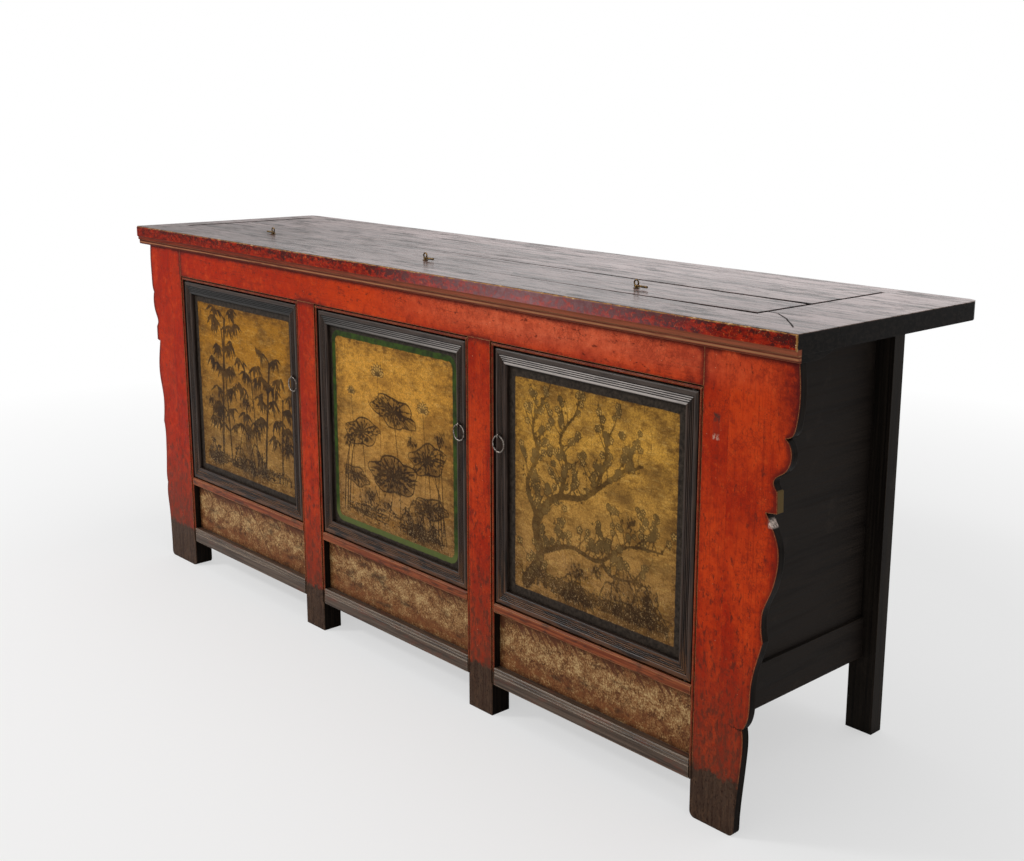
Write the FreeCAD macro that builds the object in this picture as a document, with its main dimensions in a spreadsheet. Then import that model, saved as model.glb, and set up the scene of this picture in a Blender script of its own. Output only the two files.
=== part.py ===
# A long, low painted sideboard: a plank top on a panelled front of three doors, shaped wings that
# run down beside the front posts, plank sides, a panelled back and square feet.
# Plus Z is up, plus Y points from the front to the back, and plus X to the right as seen from the front.
# The origin is on the floor, in the middle of the whole piece. Lengths are in millimetres.
import FreeCAD, Part
import os
import Sketcher

SIZES = {
    # the whole piece
    "slab_width": 2120,
    "slab_depth": 535,
    "overall_height": 880,
    "slab_thick": 34,
    "front_overhang": 15,

    # the heights of the front, from the floor up
    "foot_height": 69,
    "bottom_rail_height": 36,
    "apron_height": 117,
    "sill_height": 20,
    "front_top_rail_height": 75,

    # the widths and depths of the front
    "mid_post_width": 84,
    "corner_post_width": 64,
    "foot_round": 12,
    "foot_step": 6,
    "post_depth": 45,
    "rail_depth": 40,
    "sill_nose": 3,
    "rail_bead_depth": 2,
    "bead_width": 9,
    "bead_depth": 3,
    "apron_recess": 16,
    "panel_thick": 12,
    "groove_depth": 8,
    "tenon_length": 20,
    "tenon_thick": 10,
    "tenon_set_back": 15,
    "tenon_shoulder": 5,
    "side_groove_depth": 5,
    "side_tenon_length": 10,
    "side_tenon_inset": 10,
    "side_tenon_thick": 8,

    # the wings beside the front posts
    "wing_reach": 138,
    "wing_thick": 17,

    # the top
    "top_moulding_height": 12,
    "top_moulding_overhang": 9,
    "top_moulding_depth": 89,
    "edge_band_height": 25,
    "edge_bead_step": 3,
    "edge_round": 3,
    "front_board_width": 108,
    "rear_board_width": 52,
    "end_board_left_width": 64,
    "end_board_right_width": 163,
    "cross_slot_left": 15,
    "cross_slot_right": 9,
    "front_slot": 14,
    "centre_slot": 13,
    "middle_board_width": 154,
    "board_ledge": 20,
    "ledge_thick": 20,
    "corner_round": 20,
    "batten_width": 45,
    "batten_thick": 20,

    # the sides, the back and the floor
    "rear_post_width": 60,
    "rear_post_depth": 33,
    "rear_post_set_in": 6,
    "side_panel_set_in": 2,
    "side_rail_thick": 22,
    "side_rail_height": 83,
    "side_top_rail_thick": 20,
    "top_rail_height": 56,
    "rear_rail_thick": 26,
    "rear_rail_set_in": 4,
    "rear_mid_post_width": 60,
    "rear_bottom_rail_height": 60,
    "rear_panel_thick": 10,
    "sill_lip": 4,
    "floor_thick": 14,
    "floor_bearing": 6,
    "bearer_width": 30,
    "bearer_height": 40,

    # the doors
    "door_gap": 3,
    "door_set_back": 2,
    "door_thick": 28,
    "door_frame_width": 30,
    "mitre_depth": 12,
    "reed_depth": 3,
    "door_panel_recess": 10,
    "door_panel_thick": 10,
    "door_panel_play": 1,
    "door_tenon_length": 15,
    "door_tenon_start": 14,
    "door_tenon_thick": 8,
    "pivot_radius": 6,
    "pivot_length": 12,
    "pivot_from_edge": 14,
    "pivot_from_face": 9,
    "pivot_clearance": 0.3,

    # the ring pulls and their staples
    "pull_radius": 16,
    "pull_wire": 1.5,
    "staple_radius": 3.3,
    "staple_wire": 1.4,
    "staple_stand_off": 4.5,
    "staple_shank": 1.6,
    "staple_clearance": 0.2,
    "clinch_length": 14,

    # the lock pins in the top
    "pin_radius": 3,
    "pin_clearance": 0.3,
    "pin_length": 56,
    "pin_collar_radius": 6,
    "pin_collar_thick": 1.5,
    "pin_ring_radius": 5.2,
    "pin_ring_wire": 1.5,
    "pin_ring_lift": 0.6,
    "pin_bar_lift": 0.8,
    "pin_bar_length": 27,
    "pin_bar_radius": 2.2,
    "pin_bar_stub": 4.5,

    # one overrun serves every cutting piece
    "overrun": 5,
}

# The face of a door frame, from its outer edge inwards: a broad round, three reeds and a lip.
# Each point is a share of the frame's width and a share of the reeds' depth.
DOOR_FACE_shares = (
    (0.0, 1.0), (0.02, 0.55), (0.07, 0.2), (0.13, 0.03), (0.18, 0.0), (0.23, 0.03), (0.29, 0.2), (0.34, 0.55),
    (0.36, 1.0), (0.39, 0.45), (0.423, 0.3), (0.457, 0.45),
    (0.487, 1.0), (0.517, 0.45), (0.55, 0.3), (0.583, 0.45),
    (0.613, 1.0), (0.643, 0.45), (0.677, 0.3), (0.71, 0.45),
    (0.74, 1.0), (0.77, 0.5), (0.82, 0.3), (0.88, 0.35), (0.94, 0.6), (0.98, 1.0), (1.0, 1.6),
)

# The bead round an opening, from its edge outwards: width and depth in shares of the bead.
BEAD_shares = ((0.0, 1.0), (0.11, 0.4), (0.38, 0.0), (0.66, 0.4), (0.77, 1.0), (0.89, 1.0), (1.0, 0.0))

# The two small beads at the top of a bottom rail: depth in shares of the beads, height of the rail.
RAIL_BEAD_shares = (
    (0.0, 0.6), (0.75, 0.64), (0.0, 0.69), (0.0, 0.77), (0.75, 0.81), (0.0, 0.86), (0.0, 0.95), (0.75, 1.0),
)

# The underside of the strip below the top: depth in shares of its depth, drop in shares of its height.
STRIP_shares = ((0.0, 0.35), (0.0, 0.8), (0.03, 1.0), (0.52, 1.0), (0.76, 0.72), (0.91, 0.32), (1.0, 0.0))

# The lobes of each wing's outer edge from the top down. Each list is one smooth curve, its points
# given as shares of the wing's reach and of its height. The lobes meet in cusps and notches.
# The two wings are cut by hand and differ: the left one is slimmer at the top.
WING_LOBE_shares = {
    "right": (
        ((0.968, 1.000), (0.994, 0.958), (0.964, 0.881), (0.920, 0.861), (0.819, 0.853)),
        ((0.819, 0.853), (0.906, 0.832), (0.899, 0.806), (0.812, 0.785), (0.688, 0.769), (0.681, 0.759)),
        ((0.681, 0.759), (0.710, 0.751), (0.739, 0.746)),
        ((0.739, 0.746), (0.746, 0.704)),
        ((0.746, 0.704), (0.587, 0.701)),
        ((0.587, 0.701), (0.688, 0.674), (0.783, 0.635), (0.775, 0.585), (0.696, 0.540), (0.601, 0.502),
         (0.587, 0.468), (0.616, 0.438)),
        ((0.616, 0.438), (0.552, 0.400), (0.486, 0.357), (0.464, 0.324), (0.462, 0.294), (0.435, 0.262),
         (0.362, 0.240)),
        ((0.362, 0.240), (0.380, 0.215), (0.372, 0.180), (0.326, 0.100), (0.292, 0.016)),
        ((0.292, 0.016), (0.275, 0.005), (0.225, 0.000)),
    ),
    "left": (
        ((0.715, 1.000), (0.738, 0.958), (0.728, 0.890), (0.712, 0.866), (0.672, 0.853)),
        ((0.672, 0.853), (0.706, 0.832), (0.694, 0.806), (0.640, 0.785), (0.584, 0.769), (0.576, 0.759)),
        ((0.576, 0.759), (0.604, 0.751), (0.632, 0.746)),
        ((0.632, 0.746), (0.636, 0.704)),
        ((0.636, 0.704), (0.540, 0.701)),
        ((0.540, 0.701), (0.578, 0.674), (0.622, 0.635), (0.626, 0.595), (0.572, 0.555), (0.528, 0.520),
         (0.530, 0.485), (0.570, 0.442)),
        ((0.570, 0.442), (0.530, 0.410), (0.532, 0.370), (0.546, 0.330), (0.570, 0.290), (0.580, 0.262),
         (0.552, 0.240)),
        ((0.552, 0.240), (0.582, 0.212), (0.545, 0.160), (0.514, 0.090), (0.508, 0.016)),
        ((0.508, 0.016), (0.492, 0.005), (0.444, 0.000)),
    ),
}

# Where the slots of the top begin to open, in shares of half the slab's width.
FRONT_SLOT_START_share = 0.216
CENTRE_SLOT_START_share = -0.390
# How far the rounding of the top's rear corners keeps inside their edges, in shares of the rounding.
CORNER_CUT_share = 0.3
# The places of the battens under the top, in shares of the way from the middle to a corner post.
BATTEN_PLACE_shares = (-0.9328, -0.3497, 0.3497, 0.9328)
# Each lock pin's place, in shares of half the slab's width and of its depth from the front edge.
PIN_PLACE_shares = {"left": (-0.631, 0.308), "middle": (-0.010, 0.241), "right": (0.535, 0.316)}
# Which way each lock pin's bar points along X.
PIN_BAR_WAY = {"left": -1, "middle": 1, "right": 1}
# How high the eye of a ring pull sits, in shares of the door's height from its bottom.
PULL_HEIGHT_share = 0.67
# How many boards the floor has.
FLOOR_BOARDS = 3

# The three bays of the front, in order from the left, and the side on which each door turns.
BAYS = {"left": -1, "middle": 0, "right": 1}
HINGE_SIDE = {"left": -1, "middle": -1, "right": 1}

PLANE_ROLES = {"XY": "XY_Plane", "XZ": "XZ_Plane", "YZ": "YZ_Plane"}
NODES = []

doc = FreeCAD.newDocument("sideboard")
sheet = doc.addObject("Spreadsheet::Sheet", "Sizes")
for row, (name, number) in enumerate(SIZES.items(), start=1):
    sheet.set(f"A{row}", str(number))
    sheet.setAlias(f"A{row}", name)
doc.recompute()


class Size:
    """A length that carries its value and the formula over the sheet that it comes from."""

    def __init__(self, value, formula):
        self.value = value
        self.formula = formula

    def __add__(self, other):
        return combine(self, "+", other)

    def __radd__(self, other):
        return combine(other, "+", self)

    def __sub__(self, other):
        return combine(self, "-", other)

    def __rsub__(self, other):
        return combine(other, "-", self)

    def __mul__(self, other):
        return combine(self, "*", other)

    def __rmul__(self, other):
        return combine(other, "*", self)

    def __truediv__(self, other):
        return combine(self, "/", other)

    def __neg__(self):
        return combine(0, "-", self)


def as_size(length):
    if isinstance(length, Size):
        return length
    return Size(float(length), str(length))


def combine(first, sign, second):
    """Adds, subtracts, multiplies or divides two lengths, in value and in formula."""
    first, second = as_size(first), as_size(second)
    if sign == "+":
        value = first.value + second.value
    elif sign == "-":
        value = first.value - second.value
    elif sign == "*":
        value = first.value * second.value
    else:
        value = first.value / second.value
    return Size(value, f"({first.formula} {sign} {second.formula})")


def size(name):
    """The named driving dimension."""
    return Size(float(sheet.get(name)), f"Sizes.{name}")


def bind(piece, prop, length):
    piece.setExpression(prop, as_size(length).formula)


def place(piece, x, y, z):
    """Ties a piece's position to three lengths."""
    bind(piece, "Placement.Base.x", x)
    bind(piece, "Placement.Base.y", y)
    bind(piece, "Placement.Base.z", z)


def turned(piece, axis, degrees):
    piece.Placement = FreeCAD.Placement(FreeCAD.Vector(), FreeCAD.Rotation(FreeCAD.Vector(*axis), degrees))


def span(first, second):
    """Two places in rising order."""
    if as_size(first).value <= as_size(second).value:
        return first, second
    return second, first


def box(x, y, z):
    """A block between two places along each axis."""
    piece = doc.addObject("Part::Box", "Block")
    place(piece, x[0], y[0], z[0])
    bind(piece, "Length", x[1] - x[0])
    bind(piece, "Width", y[1] - y[0])
    bind(piece, "Height", z[1] - z[0])
    return piece


def rod(along, radius, start, length):
    """A round rod from a start point, along X, Y or Z."""
    piece = doc.addObject("Part::Cylinder", "Rod")
    if along == "X":
        turned(piece, (0, 1, 0), 90)
    if along == "Y":
        turned(piece, (1, 0, 0), -90)
    place(piece, *start)
    bind(piece, "Radius", radius)
    bind(piece, "Height", length)
    return piece


def loop(across, radius, wire, centre):
    """A closed ring of round wire whose hole looks along X or Y."""
    piece = doc.addObject("Part::Torus", "Loop")
    if across == "X":
        turned(piece, (0, 1, 0), 90)
    if across == "Y":
        turned(piece, (1, 0, 0), 90)
    place(piece, *centre)
    bind(piece, "Radius1", radius)
    bind(piece, "Radius2", wire)
    return piece


def pad(plane, outline, start, length):
    """A body whose sketched outline lies in one plane, padded in the plus direction from a start."""
    body = doc.addObject("PartDesign::Body", "Board")
    sketch = body.newObject("Sketcher::SketchObject", "Outline")
    base = [feature for feature in body.Origin.OriginFeatures if feature.Role == PLANE_ROLES[plane]][0]
    sketch.AttachmentSupport = (base, "")
    sketch.MapMode = "FlatFace"
    corners = [(as_size(across), as_size(up)) for across, up in outline]
    count = len(corners)
    for index, (across, up) in enumerate(corners):
        next_across, next_up = corners[(index + 1) % count]
        begin = FreeCAD.Vector(across.value, up.value, 0)
        end = FreeCAD.Vector(next_across.value, next_up.value, 0)
        sketch.addGeometry(Part.LineSegment(begin, end), False)
    for index in range(count):
        sketch.addConstraint(Sketcher.Constraint("Coincident", index, 2, (index + 1) % count, 1))
    for index, (across, up) in enumerate(corners):
        for kind, length_here in (("DistanceX", across), ("DistanceY", up)):
            number = sketch.addConstraint(Sketcher.Constraint(kind, -1, 1, index, 1, length_here.value))
            bind(sketch, f"Constraints[{number}]", length_here)
    feature = body.newObject("PartDesign::Pad", "Thickness")
    feature.Profile = sketch
    feature.Reversed = plane == "XZ"
    bind(feature, "Length", length)
    axis = {"XY": "z", "XZ": "y", "YZ": "x"}[plane]
    bind(body, f"Placement.Base.{axis}", start)
    body.Tip = feature
    return body


def together(kind, pieces):
    """Joins several pieces into one, or passes a single one through."""
    if len(pieces) == 1:
        return pieces[0]
    joined = doc.addObject(kind, "Joined")
    if kind == "Part::Compound":
        joined.Links = list(pieces)
    else:
        joined.Shapes = list(pieces)
    return joined


def fuse(*pieces):
    return together("Part::MultiFuse", pieces)


def group(*pieces):
    return together("Part::Compound", pieces)


def cut(base, *tools):
    piece = doc.addObject("Part::Cut", "Fitted")
    piece.Base = base
    piece.Tool = group(*tools)
    return piece


def common(base, tool):
    piece = doc.addObject("Part::Common", "Trimmed")
    piece.Base = base
    piece.Tool = tool
    return piece


def mirrored(source):
    """The same piece on the other side of the middle."""
    piece = doc.addObject("Part::Mirroring", "Mirrored")
    piece.Source = source
    piece.Normal = FreeCAD.Vector(1, 0, 0)
    return piece


def node(piece, label):
    """Names a finished sub-part and keeps it for writing."""
    piece.Label = label
    NODES.append(piece)
    return piece


# The main places, worked out from the driving dimensions.
HALF_WIDTH = size("slab_width") / 2
BACK = size("slab_depth") / 2
FRONT = size("front_overhang") - BACK
TOP = size("overall_height")
SLAB_BOTTOM = TOP - size("slab_thick")
FRAME_TOP = SLAB_BOTTOM - size("top_moulding_height")
BOTTOM_RAIL_TOP = size("foot_height") + size("bottom_rail_height")
SILL_BOTTOM = BOTTOM_RAIL_TOP + size("apron_height")
OPENING_BOTTOM = SILL_BOTTOM + size("sill_height")
OPENING_TOP = FRAME_TOP - size("front_top_rail_height")
BEAD_TOP = OPENING_TOP + size("bead_width")
BESIDE_OPENINGS = size("wing_reach") + size("corner_post_width") + size("mid_post_width")
OPENING_WIDTH = (size("slab_width") - BESIDE_OPENINGS * 2) / len(BAYS)
HALF_OPENING = OPENING_WIDTH / 2
BAY_PITCH = OPENING_WIDTH + size("mid_post_width")
CORNER_INNER = BAY_PITCH + HALF_OPENING
CORNER_OUTER = CORNER_INNER + size("corner_post_width")
FLOOR_TOP = OPENING_BOTTOM - size("sill_lip")
FLOOR_BOTTOM = FLOOR_TOP - size("floor_thick")
REAR_POST_FRONT = BACK - size("rear_post_depth")
REAR_POST_INNER = CORNER_INNER - size("rear_post_set_in")
REAR_RAIL_FRONT = BACK - size("rear_rail_set_in") - size("rear_rail_thick")
REAR_PANEL_FRONT = REAR_RAIL_FRONT + (size("rear_rail_thick") - size("rear_panel_thick")) / 2
REAR_PANEL_BACK = REAR_PANEL_FRONT + size("rear_panel_thick")
SIDE_RAIL_BOTTOM = FLOOR_TOP - size("side_rail_height")
TOP_RAIL_BOTTOM = SLAB_BOTTOM - size("top_rail_height")
MID_CENTRE = BAY_PITCH / 2
DOOR_FRONT = FRONT + size("door_set_back")
DOOR_BOTTOM = OPENING_BOTTOM + size("door_gap")
DOOR_TOP = OPENING_TOP - size("door_gap")
PULL_HEIGHT = DOOR_BOTTOM + (DOOR_TOP - DOOR_BOTTOM) * PULL_HEIGHT_share


def bay_edges(bay):
    """The left and right edges of one bay's opening."""
    centre = BAY_PITCH * BAYS[bay]
    return centre - HALF_OPENING, centre + HALF_OPENING


def tenon(x, z, start):
    """The tenons at both ends of a rail, as one block through its middle."""
    reach = size("tenon_length")
    shoulder = size("tenon_shoulder")
    return box((x[0] - reach, x[1] + reach), (start, start + size("tenon_thick")), (z[0] + shoulder, z[1] - shoulder))


def bead_cutter(bay):
    """What is taken away to leave a round bead up both sides of an opening and over its top."""
    left, right = bay_edges(bay)
    width = size("bead_width").value
    depth = size("bead_depth").value
    over = size("overrun").value
    face = FRONT.value
    foot = size("foot_height").value
    path_points = [
        FreeCAD.Vector(left.value, face, foot),
        FreeCAD.Vector(left.value, face, OPENING_TOP.value),
        FreeCAD.Vector(right.value, face, OPENING_TOP.value),
        FreeCAD.Vector(right.value, face, foot),
    ]
    section_points = [(-over, depth), (-over, -over), (width, -over)]
    section_points += [(share * width, deep * depth) for share, deep in reversed(BEAD_shares)]
    section = [FreeCAD.Vector(left.value - out, face + deep, foot) for out, deep in section_points]
    path = Part.makePolygon(path_points)
    outline = Part.makePolygon(section + section[:1])
    piece = doc.addObject("Part::Feature", "Bead")
    right_corners = 1
    piece.Shape = path.makePipeShell([outline], True, False, right_corners)
    return piece


def make_front_rails():
    """The rails and painted aprons of the front, with the long rail over the doors."""
    made = {"blanks": [], "sills": {}, "aprons": [], "beads": {bay: bead_cutter(bay) for bay in BAYS}}
    bead = size("bead_width")
    lower_edge = []
    for bay in reversed(BAYS):
        left, right = bay_edges(bay)
        lower_edge += [(right + bead, BEAD_TOP), (right, OPENING_TOP), (left, OPENING_TOP), (left - bead, BEAD_TOP)]
    reach = CORNER_INNER + bead
    outline = [(-reach, FRAME_TOP), (reach, FRAME_TOP)] + lower_edge
    rail = pad("XZ", outline, FRONT, size("rail_depth"))
    tenon_start = FRONT + size("tenon_set_back")
    made["top_rail"] = fuse(rail, tenon((-reach, reach), (BEAD_TOP, FRAME_TOP), tenon_start))
    nose = size("sill_nose")
    rail_back = FRONT + size("rail_depth")
    for bay in BAYS:
        left, right = bay_edges(bay)
        width = right - left
        groove = size("groove_depth")
        panel_front = FRONT + size("apron_recess")
        apron = box(
            (left - groove, right + groove),
            (panel_front, panel_front + size("panel_thick")),
            (BOTTOM_RAIL_TOP - groove, SILL_BOTTOM + groove),
        )
        sill_outline = [
            (FRONT + nose, SILL_BOTTOM), (FRONT, SILL_BOTTOM + nose), (FRONT, OPENING_BOTTOM - nose),
            (FRONT + nose, OPENING_BOTTOM), (rail_back, OPENING_BOTTOM), (rail_back, SILL_BOTTOM),
        ]
        sill_tenon = tenon((left, right), (SILL_BOTTOM, OPENING_BOTTOM), tenon_start)
        sill = fuse(pad("YZ", sill_outline, left, width), sill_tenon)
        beads = [
            (FRONT + deep * size("rail_bead_depth"), size("foot_height") + up * size("bottom_rail_height"))
            for deep, up in RAIL_BEAD_shares
        ]
        rail_outline = [(rail_back, size("foot_height")), (FRONT, size("foot_height"))] + beads
        rail_outline.append((rail_back, BOTTOM_RAIL_TOP))
        bottom_tenon = tenon((left, right), (size("foot_height"), BOTTOM_RAIL_TOP), tenon_start)
        bottom = fuse(pad("YZ", rail_outline, left, width), bottom_tenon)
        node(apron, f"apron_panel_{bay}")
        node(cut(bottom, apron), f"bottom_rail_{bay}")
        made["sills"][bay] = cut(sill, apron)
        made["blanks"] += [sill, bottom]
        made["aprons"].append(apron)
    return made


def make_wing(side):
    """A wing as it stands at the right: a board whose outer edge is cut in lobes and cusps."""
    inner = CORNER_OUTER.value
    reach = size("wing_reach").value
    height = FRAME_TOP.value
    face = FRONT.value
    edges = []
    lobes = WING_LOBE_shares[side]
    for lobe in lobes:
        points = [FreeCAD.Vector(inner + out * reach, face, up * height) for out, up in lobe]
        if len(points) == 2:
            edges.append(Part.LineSegment(*points).toShape())
        else:
            curve = Part.BSplineCurve()
            curve.interpolate(points)
            edges.append(curve.toShape())
    top_out, top_up = lobes[0][0]
    foot_out, foot_up = lobes[-1][-1]
    corners = [
        FreeCAD.Vector(inner + foot_out * reach, face, foot_up * height),
        FreeCAD.Vector(inner, face, 0),
        FreeCAD.Vector(inner, face, height),
        FreeCAD.Vector(inner + top_out * reach, face, top_up * height),
    ]
    edges += [Part.LineSegment(first, second).toShape() for first, second in zip(corners, corners[1:])]
    outline = Part.Wire(Part.__sortEdges__(edges))
    piece = doc.addObject("Part::Feature", "Wing")
    piece.Shape = Part.Face(outline).extrude(FreeCAD.Vector(0, size("wing_thick").value, 0))
    return piece


def make_top_boards():
    """The top: a frame of boards with ledges, and two long boards laid in it with open slots."""
    ledge = size("board_ledge")
    ledge_top = SLAB_BOTTOM + size("ledge_thick")
    edge = -BACK
    front_joint = edge + size("front_board_width")
    centre_joint = front_joint + size("middle_board_width")
    rear_joint = BACK - size("rear_board_width")
    left_joint = size("end_board_left_width") - HALF_WIDTH
    right_joint = HALF_WIDTH - size("end_board_right_width")
    bead = size("edge_bead_step")
    band_bottom = TOP - size("edge_band_height")
    edge_round = size("edge_round")
    front_outline = [
        (front_joint, TOP), (edge + edge_round, TOP), (edge, TOP - edge_round), (edge, band_bottom),
        (edge + bead, band_bottom - bead), (edge + bead, SLAB_BOTTOM), (front_joint + ledge, SLAB_BOTTOM),
        (front_joint + ledge, ledge_top), (front_joint, ledge_top),
    ]
    front = pad("YZ", front_outline, -HALF_WIDTH, size("slab_width"))
    turn = size("corner_round")
    half_turn = turn * CORNER_CUT_share
    rear_outline = [
        (-HALF_WIDTH, rear_joint), (HALF_WIDTH, rear_joint), (HALF_WIDTH, BACK - turn),
        (HALF_WIDTH - half_turn, BACK - half_turn), (HALF_WIDTH - turn, BACK), (turn - HALF_WIDTH, BACK),
        (half_turn - HALF_WIDTH, BACK - half_turn), (-HALF_WIDTH, BACK - turn),
    ]
    rear_ledge = box((-HALF_WIDTH, HALF_WIDTH), (rear_joint - ledge, rear_joint), (SLAB_BOTTOM, ledge_top))
    rear = fuse(pad("XY", rear_outline, SLAB_BOTTOM, size("slab_thick")), rear_ledge)
    right_ledge = box((right_joint - ledge, right_joint), (front_joint, rear_joint), (SLAB_BOTTOM, ledge_top))
    right = fuse(box((right_joint, HALF_WIDTH), (front_joint, rear_joint), (SLAB_BOTTOM, TOP)), right_ledge)
    left_ledge = box((left_joint, left_joint + ledge), (front_joint, rear_joint), (SLAB_BOTTOM, ledge_top))
    left = fuse(box((-HALF_WIDTH, left_joint), (front_joint, rear_joint), (SLAB_BOTTOM, TOP)), left_ledge)
    board_left = left_joint + size("cross_slot_left")
    board_right = right_joint - size("cross_slot_right")
    slot_start = HALF_WIDTH * FRONT_SLOT_START_share
    centre_start = HALF_WIDTH * CENTRE_SLOT_START_share
    half_slot = size("centre_slot") / 2
    middle_outline = [
        (board_left, front_joint), (slot_start, front_joint), (board_right, front_joint + size("front_slot")),
        (board_right, centre_joint - half_slot), (centre_start, centre_joint), (board_left, centre_joint),
    ]
    middle_ledge = box((board_left, board_right), (centre_joint, centre_joint + ledge), (SLAB_BOTTOM, ledge_top))
    middle = fuse(pad("XY", middle_outline, SLAB_BOTTOM, size("slab_thick")), middle_ledge)
    inner_outline = [
        (board_left, centre_joint), (centre_start, centre_joint), (board_right, centre_joint + half_slot),
        (board_right, rear_joint), (board_left, rear_joint),
    ]
    inner = pad("XY", inner_outline, SLAB_BOTTOM, size("slab_thick"))
    pin_holes = [pin_hole(side) for side in PIN_PLACE_shares]
    right_end = cut(right, front, rear)
    left_end = cut(left, front, rear)
    middle_board = cut(middle, front, right_end, left_end, *pin_holes)
    inner_board = cut(inner, rear, right_end, left_end, middle)
    node(cut(front, *pin_holes), "top_front_board")
    node(rear, "top_rear_board")
    node(right_end, "top_end_board_right")
    node(left_end, "top_end_board_left")
    node(middle_board, "top_middle_board")
    node(inner_board, "top_inner_board")


def make_top_moulding():
    """The moulded strip that runs under the front edge of the top."""
    start = FRONT - size("top_moulding_overhang")
    outline = [(start, SLAB_BOTTOM)]
    for deep, drop in STRIP_shares:
        outline.append((start + deep * size("top_moulding_depth"), SLAB_BOTTOM - drop * size("top_moulding_height")))
    return node(pad("YZ", outline, -HALF_WIDTH, size("slab_width")), "top_front_moulding")


def make_battens(strip):
    """The battens that stiffen the top, between the front strip and the rear rail."""
    start = FRONT + size("rail_depth")
    battens = []
    for share in BATTEN_PLACE_shares:
        centre = CORNER_INNER * share
        half = size("batten_width") / 2
        height = (SLAB_BOTTOM - size("batten_thick"), SLAB_BOTTOM)
        battens.append(box((centre - half, centre + half), (start, REAR_RAIL_FRONT), height))
    return node(cut(group(*battens), strip), "top_battens")


def pin_place(side):
    along, deep = PIN_PLACE_shares[side]
    return HALF_WIDTH * along, size("slab_depth") * deep - BACK


def pin_hole(side):
    x, y = pin_place(side)
    start = SLAB_BOTTOM - size("overrun")
    return rod("Z", size("pin_radius") + size("pin_clearance"), (x, y, start), size("slab_thick") + size("overrun") * 2)


def make_lock_pin(side):
    """A lock pin: a shank through the top, a collar, a ring head and a cross bar."""
    x, y = pin_place(side)
    collar_bottom = TOP + size("pin_clearance")
    shank_bottom = collar_bottom - size("pin_length")
    bar_height = collar_bottom + size("pin_collar_thick") + size("pin_bar_lift") + size("pin_bar_radius")
    shank = rod("Z", size("pin_radius"), (x, y, shank_bottom), bar_height - shank_bottom)
    collar = rod("Z", size("pin_collar_radius"), (x, y, collar_bottom), size("pin_collar_thick"))
    ring_height = bar_height + size("pin_ring_radius") + size("pin_ring_lift")
    head = loop("Y", size("pin_ring_radius"), size("pin_ring_wire"), (x, y, ring_height))
    back_end = size("pin_bar_stub")
    bar_length = size("pin_bar_length") + back_end
    bar_start = x - back_end
    if PIN_BAR_WAY[side] < 0:
        bar_start = x + back_end - bar_length
    bar = rod("X", size("pin_bar_radius"), (bar_start, y, bar_height), bar_length)
    return node(fuse(shank, collar, head, bar), f"lock_pin_{side}")


def make_side(strip):
    """The plank and the two rails of the right side. The left side is their mirror image."""
    groove = size("side_groove_depth")
    reach = size("side_tenon_length")
    shoulder = size("tenon_shoulder")
    post_back = FRONT + size("post_depth")
    panel_inner = CORNER_INNER + size("side_panel_set_in")
    panel = box(
        (panel_inner, panel_inner + size("panel_thick")),
        (post_back - groove, REAR_POST_FRONT + groove),
        (FLOOR_TOP - groove, SLAB_BOTTOM),
    )
    low_body = box(
        (CORNER_INNER, CORNER_INNER + size("side_rail_thick")),
        (post_back, REAR_POST_FRONT),
        (SIDE_RAIL_BOTTOM, FLOOR_TOP),
    )
    tenon_inner = CORNER_INNER + size("side_tenon_inset")
    low_tenon = box(
        (tenon_inner, tenon_inner + size("side_tenon_thick")),
        (post_back - reach, REAR_POST_FRONT + reach),
        (SIDE_RAIL_BOTTOM + shoulder, FLOOR_TOP - shoulder),
    )
    high_rail = box(
        (panel_inner - size("side_top_rail_thick"), panel_inner),
        (FRONT + size("rail_depth"), REAR_POST_FRONT),
        (TOP_RAIL_BOTTOM, SLAB_BOTTOM),
    )
    return cut(panel, strip), fuse(low_body, low_tenon), cut(high_rail, strip)


def make_back():
    """The rails and panels of the back, which its four posts are cut for."""
    mid_half = size("rear_mid_post_width") / 2
    groove = size("groove_depth")
    rail_y = (REAR_RAIL_FRONT, REAR_RAIL_FRONT + size("rear_rail_thick"))
    tenon_start = REAR_RAIL_FRONT + (size("rear_rail_thick") - size("tenon_thick")) / 2
    top_x = (-REAR_POST_INNER, REAR_POST_INNER)
    top_z = (TOP_RAIL_BOTTOM, SLAB_BOTTOM)
    top_rail = fuse(box(top_x, rail_y, top_z), tenon(top_x, top_z, tenon_start))
    low_z = (FLOOR_BOTTOM - size("rear_bottom_rail_height"), FLOOR_BOTTOM)
    bays = (
        (-REAR_POST_INNER, -MID_CENTRE - mid_half),
        (mid_half - MID_CENTRE, MID_CENTRE - mid_half),
        (MID_CENTRE + mid_half, REAR_POST_INNER),
    )
    low_rails = [fuse(box(stops, rail_y, low_z), tenon(stops, low_z, tenon_start)) for stops in bays]
    panel_y = (REAR_PANEL_FRONT, REAR_PANEL_BACK)
    panel_z = (FLOOR_BOTTOM - groove, TOP_RAIL_BOTTOM + groove)
    panels = [box((left - groove, right + groove), panel_y, panel_z) for left, right in bays]
    return top_rail, low_rails, panels


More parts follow.
